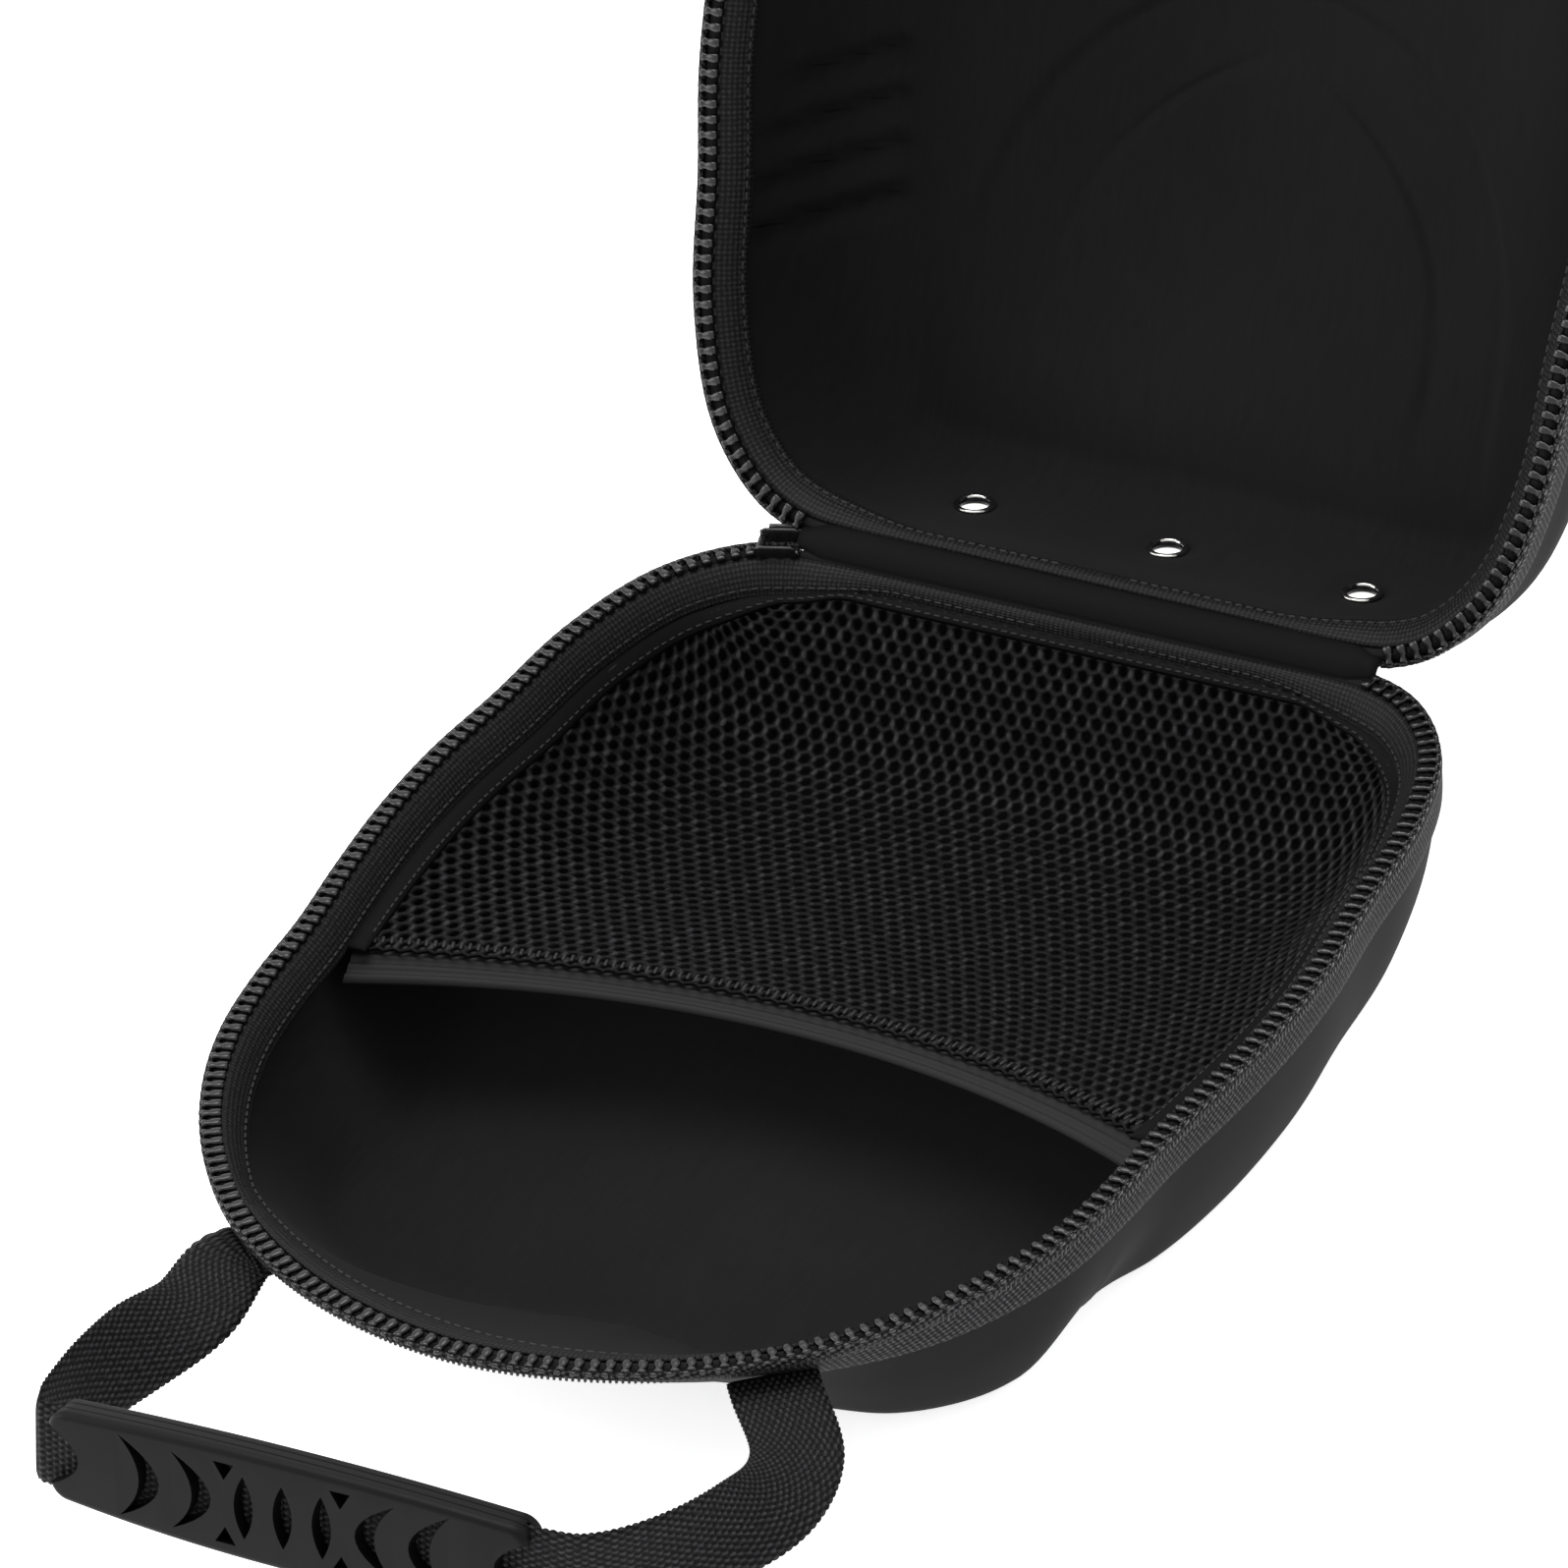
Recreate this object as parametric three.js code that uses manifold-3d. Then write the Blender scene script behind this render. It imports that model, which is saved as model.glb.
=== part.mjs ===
// Moulded carrier case for a baseball cap: a shallow tray, a domed lid that is
// hinged on a fabric strip, a zipper round both rims, a mesh pocket in the tray
// and a webbing handle with a moulded grip. Millimetres, +Z up. The origin is on
// the floor, under the middle of the tray's rim; the hinge is on the +Y side.
import * as THREE from 'three';
import { mergeVertices } from 'three/addons/utils/BufferGeometryUtils.js';
import Module from 'manifold-3d';

// Rim and shells
const RIM_LENGTH = 290;
const RIM_WIDTH = 221;
const WALL = 3;
const TRAY_DEPTH = 48;
const LID_DEPTH = 59;
const LID_CROWN = 11;
const LID_OPEN_ANGLE = 115;
const RUNNING_GAP = 0.3;
const RIM_DROP = 2.5;
const ROUND_STEPS = 2;

// Bottom insets of the moulded walls, measured in from the rim
const TRAY_INSET_HINGE = 15;
const TRAY_INSET_SIDE = 16;
const TRAY_INSET_NEAR = 72;
const LID_INSET_HINGE = 18;
const LID_INSET_SIDE = 27;
const LID_INSET_NEAR = 62;

// Zipper, tapes and bindings
const TOOTH_ROW_WIDTH = 4.2;
const TOOTH_ROW_HEIGHT = 1.9;
const TAPE_THICKNESS = 0.9;
const TAPE_WIDTH = 8.5;
const SLOPE_GAP = 1.6;
const BINDING_THICKNESS = 1.2;
const BINDING_RUN = 5.2;
const BINDING_FALL = 6.5;
const BINDING_GAP = 0.5;
const SLIDER_LENGTH = 9;
const SLIDER_HEIGHT = 4.2;
const PULLER_LENGTH = 22;
const PULLER_WIDTH = 7;
const PULLER_THICKNESS = 1.4;

// Hinge strip
const HINGE_STRIP_LENGTH = RIM_WIDTH * 0.6335;
const HINGE_STRIP_THICKNESS = 0.8;
const PIVOT_OFFSET = 0.9;

// Lid relief and eyelets
const OUTER_ARCH = { width: 130, top: 132, foot: 32 };
const INNER_ARCH = { width: 94, top: 114, foot: 44 };
const ARCH_RELIEF = 1.4;
const ARCH_SLOPE = 2.5;
const EYELET_PITCH = 48.5;
const EYELET_OUTER_RADIUS = 4.8;
const EYELET_HOLE_RADIUS = 2.9;
const EYELET_FLANGE = 0.7;
const EYELET_SIDES = 16;

// Mesh pocket
const POCKET_LENGTH = 157;
const POCKET_BOW = 22;
const POCKET_SAG = 25;
const POCKET_THICKNESS = 1.4;
const POCKET_COLUMNS = 18;
const ELASTIC_WIDTH = 9;
const ELASTIC_THICKNESS = 1.8;

// Handle
const WEBBING_WIDTH = 20;
const WEBBING_THICKNESS = 1.6;
const WEBBING_STEPS = 2;
const HANDLE_REACH = 59;
const HANDLE_ROOT_SPAN = 128;
const HANDLE_LEVEL = 2;
const ROOT_DROP = 8.5;
const ROOT_STRAIGHT = 6;
const GRIP_LENGTH = 116;
const GRIP_HEIGHT = 26;
const GRIP_END_HEIGHT = 20.5;
const GRIP_SHIFT = -6;
const GRIP_THICKNESS = 8.4;
const GRIP_BOW = 1.5;
const GRIP_EDGE = 1.6;
const GRIP_SLOT_CLEARANCE = 0.5;
const GRIP_CORNER = 5;
const GRIP_STEPS = 9;
const GRIP_SLIT = 4.6;
const GRIP_SLIT_HEIGHT = 15;
const WINDOW_STEPS = 5;

// Windows on each side of the grip's middle slit. near and far are where the two
// arcs bulge to, tips where they meet, all from the middle.
const GRIP_WINDOWS = [
  { near: 7.1, far: 11.7, tips: 9.4, height: 15.0 },
  { near: 17.3, far: 22.0, tips: 27.0, height: 18.5 },
  { near: 30.0, far: 35.0, tips: 40.0, height: 19.5 },
  { near: 50.0, far: 70.0, tips: 60.0, height: 17.0 },
];
const GRIP_NOTCH = { near: 11.5, far: 16.5, high: 9.6, low: 5.6 };

// Half of the rim seen from above. along: share of the length from the hinge;
// half: share of the half width.
const RIM_TABLE = [
  { along: 0.000, half: 0.00 },
  { along: 0.000, half: 0.30 },
  { along: 0.000, half: 0.57 },
  { along: 0.003, half: 0.66 },
  { along: 0.020, half: 0.76 },
  { along: 0.070, half: 0.875 },
  { along: 0.160, half: 0.948 },
  { along: 0.260, half: 0.972 },
  { along: 0.340, half: 0.997 },
  { along: 0.420, half: 1.000 },
  { along: 0.500, half: 0.984 },
  { along: 0.570, half: 0.963 },
  { along: 0.640, half: 0.955 },
  { along: 0.710, half: 0.930 },
  { along: 0.780, half: 0.868 },
  { along: 0.850, half: 0.762 },
  { along: 0.920, half: 0.590 },
  { along: 0.975, half: 0.335 },
  { along: 1.000, half: 0.00 },
];

// Walls from the rim down to the floor's edge, as shares of inset and depth; the row
// marked eyelets starts the flat facet that they sit in.
const TRAY_WALL = [
  { inset: 0.00, depth: 0.00 },
  { inset: 0.03, depth: 0.20 },
  { inset: 0.22, depth: 0.52 },
  { inset: 0.50, depth: 0.78 },
  { inset: 0.76, depth: 0.94 },
  { inset: 1.00, depth: 1.00 },
];
const LID_WALL = [
  { inset: 0.00, depth: 0.00 },
  { inset: 0.05, depth: 0.27 },
  { inset: 0.11, depth: 0.49, eyelets: true },
  { inset: 0.36, depth: 0.79 },
  { inset: 0.66, depth: 0.94 },
  { inset: 1.00, depth: 1.00 },
];

// How the insets and the lid's height run along the case, from hinge to near end.
// pull: 0 is the side inset and 1 the near end's; slant: 0 keeps the wall's table and
// 1 makes it a straight slope; height: share of the lid's depth.
const TRAY_ALONG = [
  { along: 0.00, pull: 0.00, slant: 0.00 },
  { along: 0.40, pull: 0.00, slant: 0.00 },
  { along: 0.54, pull: 0.04, slant: 0.00 },
  { along: 0.63, pull: 0.22, slant: 0.05 },
  { along: 0.72, pull: 0.08, slant: 0.10 },
  { along: 0.82, pull: 0.25, slant: 0.30 },
  { along: 0.92, pull: 0.74, slant: 0.70 },
  { along: 1.00, pull: 1.00, slant: 0.90 },
];
const LID_ALONG = [
  { along: 0.00, pull: 0.00, slant: 0.00, height: 0.98 },
  { along: 0.30, pull: 0.00, slant: 0.00, height: 1.00 },
  { along: 0.50, pull: 0.06, slant: 0.00, height: 0.98 },
  { along: 0.70, pull: 0.32, slant: 0.05, height: 0.86 },
  { along: 0.86, pull: 0.75, slant: 0.10, height: 0.70 },
  { along: 1.00, pull: 1.00, slant: 0.15, height: 0.60 },
];

// Pocket profile from the hinge rim to the elastic: share of its length and of its sag.
// side: how squarely the sheet hangs between its two sides.
const POCKET_TABLE = [
  { along: 0.00, sag: 0.00, side: 8 },
  { along: 0.04, sag: 0.32, side: 8 },
  { along: 0.09, sag: 0.72, side: 8 },
  { along: 0.16, sag: 1.00, side: 7 },
  { along: 0.30, sag: 1.02, side: 6 },
  { along: 0.48, sag: 0.86, side: 5 },
  { along: 0.66, sag: 0.62, side: 4 },
  { along: 0.84, sag: 0.34, side: 3 },
  { along: 1.00, sag: 0.12, side: 2 },
];

// The webbing's route on each side, from its root to the grip. across: share of the
// half span between the roots; out: share of the reach beyond the rim's near end;
// lift: millimetres above the root; turn: 1 lies flat and 0 stands on edge.
const HANDLE_LEFT = [
  { across: 1.01, out: -0.02, lift: 0.5, turn: 0.80 },
  { across: 1.06, out: 0.30, lift: 2.5, turn: 0.42 },
  { across: 1.09, out: 0.64, lift: 4.8, turn: 0.12 },
  { across: 1.09, out: 0.88, lift: 6.0, turn: 0.00 },
];
const HANDLE_RIGHT = [
  { across: 1.24, out: -0.08, lift: -0.5, turn: 0.95 },
  { across: 1.31, out: 0.20, lift: 1.0, turn: 0.70 },
  { across: 1.27, out: 0.48, lift: 3.2, turn: 0.32 },
  { across: 1.14, out: 0.75, lift: 5.0, turn: 0.06 },
  { across: 0.97, out: 0.93, lift: 6.0, turn: 0.00 },
];

const RIM_Z = TRAY_DEPTH;
const HINGE_Y = RIM_LENGTH / 2;
const HALF_WIDTH = RIM_WIDTH / 2;

const wasm = await Module();
wasm.setup();

// Value of one column of a table at a share, on a smooth curve through the rows.
function along(table, column, share) {
  const last = table.length - 1;
  let row = 0;
  while (row < last - 1 && share > table[row + 1].along) row += 1;
  const a = table[row];
  const b = table[row + 1];
  const before = table[Math.max(row - 1, 0)];
  const after = table[Math.min(row + 2, last)];
  const t = THREE.MathUtils.clamp((share - a.along) / (b.along - a.along), 0, 1);
  const width = b.along - a.along;
  const slopeA = (b[column] - before[column]) / (b.along - before.along || 1);
  const slopeB = (after[column] - a[column]) / (after.along - a.along || 1);
  const t2 = t * t;
  const t3 = t2 * t;
  return (2 * t3 - 3 * t2 + 1) * a[column] + (t3 - 2 * t2 + t) * width * slopeA
    + (3 * t2 - 2 * t3) * b[column] + (t3 - t2) * width * slopeB;
}

// The rim as a closed curve seen from above, from the middle of the hinge round.
function makeRimCurve() {
  const right = RIM_TABLE.map((row) => new THREE.Vector3(
    row.half * HALF_WIDTH, HINGE_Y - row.along * RIM_LENGTH, 0));
  const left = right.slice(1, -1).reverse().map((p) => new THREE.Vector3(-p.x, p.y, 0));
  return new THREE.CatmullRomCurve3([...right, ...left], true, 'centripetal');
}

const rimCurve = makeRimCurve();
const ROUND_COUNT = (RIM_TABLE.length - 1) * 2 * ROUND_STEPS;

// Place on the rim and its level inward direction, at t from 0 to 1 round the case.
function rimAt(t) {
  const turn = ((t % 1) + 1) % 1;
  const p = rimCurve.getPoint(turn);
  const ahead = rimCurve.getPoint((turn + 0.002) % 1);
  const behind = rimCurve.getPoint((turn + 0.998) % 1);
  const tangent = ahead.sub(behind).normalize();
  return { p, inward: new THREE.Vector3(tangent.y, -tangent.x, 0), share: (HINGE_Y - p.y) / RIM_LENGTH };
}

// A closed surface through rings of points. A ring of one point is a pole. Rings
// that wrap make a band round the case, and a band that isn't closed round gets two
// flat ends. A sheet's rings hold its upper row and then its lower row backwards.
function skin(rings, { wrapRings = false, closedRound = true, sheet = false } = {}) {
  const positions = [];
  const starts = [];
  for (const ring of rings) {
    starts.push(positions.length / 3);
    for (const p of ring) positions.push(p.x, p.y, p.z);
  }
  const index = [];
  const count = wrapRings ? rings.length : rings.length - 1;
  for (let r = 0; r < count; r += 1) {
    const s = (r + 1) % rings.length;
    const a = rings[r];
    const b = rings[s];
    const steps = Math.max(a.length, b.length);
    const spans = closedRound ? steps : steps - 1;
    for (let i = 0; i < spans; i += 1) {
      const j = (i + 1) % steps;
      const a0 = starts[r] + (a.length > 1 ? i : 0);
      const a1 = starts[r] + (a.length > 1 ? j : 0);
      const b0 = starts[s] + (b.length > 1 ? i : 0);
      const b1 = starts[s] + (b.length > 1 ? j : 0);
      if (a.length > 1) index.push(a0, a1, b1);
      if (b.length > 1) index.push(a0, b1, b0);
    }
  }
  if (!closedRound) {
    const end = rings[0].length - 1;
    for (let r = 1; r < rings.length - 1; r += 1) {
      index.push(starts[0], starts[r], starts[r + 1]);
      index.push(starts[0] + end, starts[r + 1] + end, starts[r] + end);
    }
  }
  if (sheet) {
    const size = rings[0].length;
    for (let c = 0; c + 1 < size / 2; c += 1) {
      const first = [c, c + 1, size - 2 - c, size - 1 - c];
      const last = first.map((i) => starts[rings.length - 1] + i);
      index.push(first[0], first[2], first[1], first[0], first[3], first[2]);
      index.push(last[0], last[1], last[2], last[0], last[2], last[3]);
    }
  }
  const geometry = new THREE.BufferGeometry();
  geometry.setAttribute('position', new THREE.Float32BufferAttribute(positions, 3));
  geometry.setIndex(index);
  return facingOut(geometry);
}

// The same closed geometry with its triangles turned outwards.
function facingOut(geometry) {
  const p = geometry.getAttribute('position');
  const index = Array.from(geometry.index.array);
  const [a, b, c] = [new THREE.Vector3(), new THREE.Vector3(), new THREE.Vector3()];
  let volume = 0;
  for (let i = 0; i < index.length; i += 3) {
    a.fromBufferAttribute(p, index[i]);
    b.fromBufferAttribute(p, index[i + 1]);
    c.fromBufferAttribute(p, index[i + 2]);
    volume += a.dot(b.cross(c));
  }
  if (volume < 0) {
    for (let i = 0; i < index.length; i += 3) {
      [index[i + 1], index[i + 2]] = [index[i + 2], index[i + 1]];
    }
    geometry.setIndex(index);
  }
  geometry.computeVertexNormals();
  return geometry;
}

// Solid for joins and cuts.
function solidOf(geometry) {
  const merged = mergedPositions(geometry.clone());
  const mesh = new wasm.Mesh({
    numProp: 3,
    vertProperties: new Float32Array(merged.getAttribute('position').array),
    triVerts: new Uint32Array(merged.index.array),
  });
  return new wasm.Manifold(mesh);
}

function geometryOf(solid) {
  const mesh = solid.getMesh();
  const geometry = new THREE.BufferGeometry();
  geometry.setAttribute('position', new THREE.BufferAttribute(new Float32Array(mesh.vertProperties), 3));
  geometry.setIndex(new THREE.BufferAttribute(new Uint32Array(mesh.triVerts), 1));
  geometry.computeVertexNormals();
  return geometry;
}

// A shell's wall in section at a place on its rim, from the rim to the floor's edge:
// x runs inwards from the rim's outline and y down from the rim plane.
function wallSection(shape, rim) {
  const inset = shape.insetAt(rim);
  const depth = shape.depthAt(rim.share) - RIM_DROP;
  const slant = along(shape.along, 'slant', rim.share);
  const outer = shape.wall.map((row) => new THREE.Vector2(
    THREE.MathUtils.lerp(row.inset, row.depth, slant) * inset, RIM_DROP + row.depth * depth));
  const inner = outer.map((q, k) => {
    const run = outer[Math.min(k + 1, outer.length - 1)].clone().sub(outer[Math.max(k - 1, 0)]).normalize();
    if (k === 0) run.set(0, 1);
    if (k === outer.length - 1) run.set(1, 0);
    return new THREE.Vector2(q.x + WALL * run.y, q.y - WALL * run.x);
  });
  return { outer, inner };
}

// How far in one face of a wall lies at a depth under the rim plane.
function acrossAt(face, depth) {
  const next = Math.max(1, face.findIndex((q) => q.y >= depth));
  const [a, b] = [face[next - 1], face[next]];
  return THREE.MathUtils.mapLinear(depth, a.y, b.y, a.x, b.x);
}

// Both faces of a moulded shell's wall as rings, from the rim to the floor's edge.
function shellRings(shape) {
  const outer = shape.wall.map(() => []);
  const inner = shape.wall.map(() => []);
  for (let i = 0; i < ROUND_COUNT; i += 1) {
    const rim = rimAt(i / ROUND_COUNT);
    const section = wallSection(shape, rim);
    const place = (q) => rim.p.clone().addScaledVector(rim.inward, q.x).setZ(shape.up * q.y);
    section.outer.forEach((q, k) => outer[k].push(place(q)));
    section.inner.forEach((q, k) => inner[k].push(place(q)));
  }
  return { outer, inner };
}

// Bottom inset on a wall: the hinge end has its own, the sides run to the near end.
function insetBetween(rim, hinge, side, near, table) {
  const facesHinge = Math.max(0, -rim.inward.y) * (rim.share < 0.5 ? 1 : 0);
  const sideways = THREE.MathUtils.lerp(side, near, along(table, 'pull', rim.share));
  return THREE.MathUtils.lerp(sideways, hinge, facesHinge ** 2);
}

// The two moulded shells. up is the way that the floor lies from the rim plane.
const TRAY = {
  up: -1,
  wall: TRAY_WALL,
  along: TRAY_ALONG,
  insetAt: (rim) => insetBetween(rim, TRAY_INSET_HINGE, TRAY_INSET_SIDE, TRAY_INSET_NEAR, TRAY_ALONG),
  depthAt: () => TRAY_DEPTH,
};
const LID = {
  up: 1,
  wall: LID_WALL,
  along: LID_ALONG,
  insetAt: (rim) => insetBetween(rim, LID_INSET_HINGE, LID_INSET_SIDE, LID_INSET_NEAR, LID_ALONG),
  depthAt: (share) => LID_DEPTH * along(LID_ALONG, 'height', share),
};

function ringTowards(ring, centre, share) {
  return ring.map((p) => p.clone().lerp(centre, share));
}

function makeTrayShell() {
  const rings = shellRings(TRAY);
  const last = TRAY_WALL.length - 1;
  const centreY = (rings.outer[last][0].y + rings.outer[last][ROUND_COUNT / 2].y) / 2;
  const outerCentre = new THREE.Vector3(0, centreY, -TRAY_DEPTH);
  const innerCentre = new THREE.Vector3(0, centreY, -TRAY_DEPTH + WALL);
  return skin([
    [outerCentre],
    ringTowards(rings.outer[last], outerCentre, 0.5),
    ...[...rings.outer].reverse(),
    ...rings.inner,
    ringTowards(rings.inner[last], innerCentre, 0.5),
    [innerCentre],
  ]);
}

// One arch ring on the lid's floor, the rim's own outline made smaller. drop is how
// far the ring lies under the outside of the floor.
function archRing(arch, grow, relief, drop) {
  return Array.from({ length: ROUND_COUNT }, (_, i) => {
    const rim = rimAt(i / ROUND_COUNT);
    const s = THREE.MathUtils.lerp(arch.foot - grow, arch.top + grow, rim.share);
    const x = rim.p.x * (arch.width / 2 + grow) / HALF_WIDTH;
    const fade = THREE.MathUtils.smoothstep(rim.share, 0.05, 0.3);
    return new THREE.Vector3(x, HINGE_Y - s, lidFloorAt(x, s) + relief * fade - drop);
  });
}

// Height of the lid's outer floor over its rim plane.
function lidFloorAt(x, s) {
  const edge = LID.depthAt(s / RIM_LENGTH);
  const cross = Math.max(0, 1 - (x / (HALF_WIDTH - LID_INSET_SIDE)) ** 2);
  const lengthways = Math.max(0, Math.sin(Math.PI * Math.min(1, s / (RIM_LENGTH - LID_INSET_NEAR))));
  return edge + LID_CROWN * cross * lengthways;
}

function makeLidShell() {
  const rings = shellRings(LID);
  const last = LID_WALL.length - 1;
  const floorRings = (edge, drop) => {
    const first = archRing(OUTER_ARCH, ARCH_SLOPE, 0, drop);
    const between = edge.map((p, i) => {
      const q = p.clone().lerp(first[i], 0.5);
      return q.setZ(lidFloorAt(q.x, HINGE_Y - q.y) - drop);
    });
    const poleS = (INNER_ARCH.foot + INNER_ARCH.top) / 2;
    return [
      between,
      first,
      archRing(OUTER_ARCH, -ARCH_SLOPE, ARCH_RELIEF, drop),
      archRing(INNER_ARCH, ARCH_SLOPE, ARCH_RELIEF, drop),
      archRing(INNER_ARCH, -ARCH_SLOPE, 0, drop),
      [new THREE.Vector3(0, HINGE_Y - poleS, lidFloorAt(0, poleS) - drop)],
    ];
  };
  const shell = skin([
    ...floorRings(rings.outer[last], 0).reverse(),
    ...[...rings.outer].reverse(),
    ...rings.inner,
    ...floorRings(rings.inner[last], WALL),
  ]);
  let solid = solidOf(shell);
  for (const place of eyeletPlaces()) {
    const hole = new THREE.CylinderGeometry(
      eyeletBarrelRadius() + RUNNING_GAP, eyeletBarrelRadius() + RUNNING_GAP, WALL * 4, EYELET_SIDES);
    hole.rotateY(Math.PI / EYELET_SIDES);
    hole.applyMatrix4(place);
    solid = solid.subtract(solidOf(hole));
  }
  return geometryOf(solid);
}

function eyeletBarrelRadius() {
  return EYELET_HOLE_RADIUS + EYELET_FLANGE;
}

// Where each eyelet sits: the middle of the flat facet of the hinge-end wall, with
// the cylinder's own Y axis turned through the wall.
function eyeletPlaces() {
  const depth = LID.depthAt(0) - RIM_DROP;
  const facet = LID_WALL.findIndex((row) => row.eyelets);
  const [from, to] = LID_WALL.slice(facet, facet + 2);
  const a = new THREE.Vector2(from.inset * LID_INSET_HINGE, from.depth * depth);
  const b = new THREE.Vector2(to.inset * LID_INSET_HINGE, to.depth * depth);
  const run = b.clone().sub(a).normalize();
  const middle = a.clone().add(b).multiplyScalar(0.5);
  const across = middle.x + WALL / 2 * run.y;
  const down = middle.y - WALL / 2 * run.x;
  const tilt = Math.atan2(run.x, run.y);
  return [-1, 0, 1].map((step) => new THREE.Matrix4()
    .makeTranslation(step * EYELET_PITCH, HINGE_Y - across, RIM_DROP + down)
    .multiply(new THREE.Matrix4().makeRotationX(tilt)));
}

// A rolled metal eyelet: two flanges that grip the wall, and the barrel between.
function makeEyelet() {
  const half = WALL / 2 + RUNNING_GAP;
  const barrel = eyeletBarrelRadius();
  const profile = [
    [EYELET_HOLE_RADIUS, -half - EYELET_FLANGE * 0.6],
    [barrel, -half - EYELET_FLANGE],
    [EYELET_OUTER_RADIUS, -half],
    [barrel, -half],
    [barrel, half],
    [EYELET_OUTER_RADIUS, half],
    [barrel, half + EYELET_FLANGE],
    [EYELET_HOLE_RADIUS, half + EYELET_FLANGE * 0.6],
    [EYELET_HOLE_RADIUS, -half - EYELET_FLANGE * 0.6],
  ].map(([r, h]) => new THREE.Vector2(r, h));
  return facingOut(mergedPositions(new THREE.LatheGeometry(profile, EYELET_SIDES)));
}

// Places round the rim from one turn to another, at the shells' own steps between.
function turnsBetween(from, to) {
  const turns = [from];
  for (let i = 0; i < ROUND_COUNT; i += 1) {
    const t = i / ROUND_COUNT;
    if (t > from + 0.25 / ROUND_COUNT && t < to - 0.25 / ROUND_COUNT) turns.push(t);
  }
  if (to - from < 1) turns.push(to);
  return turns;
}

// A band that follows the rim. sectionAt gives its corners at a place on the rim,
// as inward and height; from and to are places round it, 0 and 1 for the whole way.
function rimBand(sectionAt, up, from = 0, to = 1) {
  const rings = sectionAt(rimAt(0)).map(() => []);
  for (const turn of turnsBetween(from, to)) {
    const rim = rimAt(turn);
    sectionAt(rim).forEach(([across, height], k) => {
      rings[k].push(rim.p.clone().addScaledVector(rim.inward, across).setZ(up * height));
    });
  }
  return skin(rings, { wrapRings: true, closedRound: to - from === 1 });
}

// Share of the way round at which the straight hinge side ends.
function hingeEndTurn(halfLength) {
  let t = 0;
  while (t < 0.25 && rimCurve.getPoint(t).x < halfLength) t += 0.0005;
  return t;
}

const rowStart = hingeEndTurn(HINGE_STRIP_LENGTH / 2 + RUNNING_GAP * 4);
const sliderStart = hingeEndTurn(HINGE_STRIP_LENGTH / 2 + RUNNING_GAP * 5 + SLIDER_LENGTH);
const TOOTH_ROW_OUT = (WALL - TOOTH_ROW_WIDTH) / 2;
const SEAM_TOP = RIM_DROP;

// Heights in the bands run from the rim plane into the shell's own depth.
function makeToothRow(up) {
  const top = RUNNING_GAP;
  const low = top + TOOTH_ROW_HEIGHT;
  const into = TOOTH_ROW_OUT + TOOTH_ROW_WIDTH;
  const section = [[TOOTH_ROW_OUT, top], [into, top], [into, low], [TOOTH_ROW_OUT, low]];
  return rimBand(() => section, up, rowStart, 1 - sliderStart);
}

// The tape's outer face on a wall's section: its seam edge and its free edge. Where
// the wall slopes, its faces twist from step to step, and the tape stands off more.
function tapeFace(outer) {
  const low = SEAM_TOP + TAPE_WIDTH;
  const [edge, foot] = [acrossAt(outer, SEAM_TOP), acrossAt(outer, low)];
  const gap = RUNNING_GAP + SLOPE_GAP * (foot - edge) / TAPE_WIDTH;
  return [new THREE.Vector2(edge - gap - TAPE_THICKNESS, SEAM_TOP), new THREE.Vector2(foot - gap - TAPE_THICKNESS, low)];
}

function makeZipperTape(shape) {
  return rimBand((rim) => {
    const [edge, foot] = tapeFace(wallSection(shape, rim).outer);
    return [[edge.x, edge.y], [edge.x + TAPE_THICKNESS, edge.y], [foot.x + TAPE_THICKNESS, foot.y], [foot.x, foot.y]];
  }, shape.up, rowStart, 1 - rowStart);
}

// The binding slopes from the shell's edge inwards, over the seam's bulk, and where
// the wall itself slopes more it stands off it by its stitched foot.
function makeBinding(shape) {
  const low = SEAM_TOP + BINDING_FALL;
  const normal = new THREE.Vector2(BINDING_FALL, -BINDING_RUN).normalize().multiplyScalar(BINDING_THICKNESS);
  return rimBand((rim) => {
    const { inner } = wallSection(shape, rim);
    const edge = acrossAt(inner, SEAM_TOP) + BINDING_GAP;
    const foot = Math.max(edge + BINDING_RUN, acrossAt(inner, low) + 4 * BINDING_GAP);
    return [
      [edge, SEAM_TOP], [edge + normal.x, Math.max(SEAM_TOP + normal.y, RUNNING_GAP)],
      [foot + normal.x, low + normal.y], [foot, low],
    ];
  }, shape.up);
}

// The slider waits at the left end of the tooth row, with its puller hanging outside.
function makeZipSlider() {
  const half = SLIDER_HEIGHT / 2;
  const out = TOOTH_ROW_OUT - 0.4;
  const into = TOOTH_ROW_OUT + TOOTH_ROW_WIDTH + 0.2;
  const from = 1 - sliderStart + RUNNING_GAP / SLIDER_LENGTH * (sliderStart - rowStart);
  const body = rimBand(() => [[out, -half], [into, -half], [into, half], [out, half]], -1, from, 1 - rowStart);
  const rim = rimAt((from + 1 - rowStart) / 2);
  const outside = -TAPE_THICKNESS - RUNNING_GAP * 2 - PULLER_THICKNESS / 2;
  const place = (across, low, high, thick) => {
    const plate = new THREE.BoxGeometry(PULLER_WIDTH, thick, high - low);
    const at = rim.p.clone().addScaledVector(rim.inward, across).setZ((low + high) / 2);
    const turn = Math.atan2(rim.inward.y, rim.inward.x) - Math.PI / 2;
    plate.rotateZ(turn);
    plate.translate(at.x, at.y, at.z);
    return solidOf(plate);
  };
  const arm = place(outside / 2, -half, half, PULLER_THICKNESS - outside);
  const plate = place(outside, half - PULLER_LENGTH, half, PULLER_THICKNESS);
  return geometryOf(solidOf(body).add(arm).add(plate));
}

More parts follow.
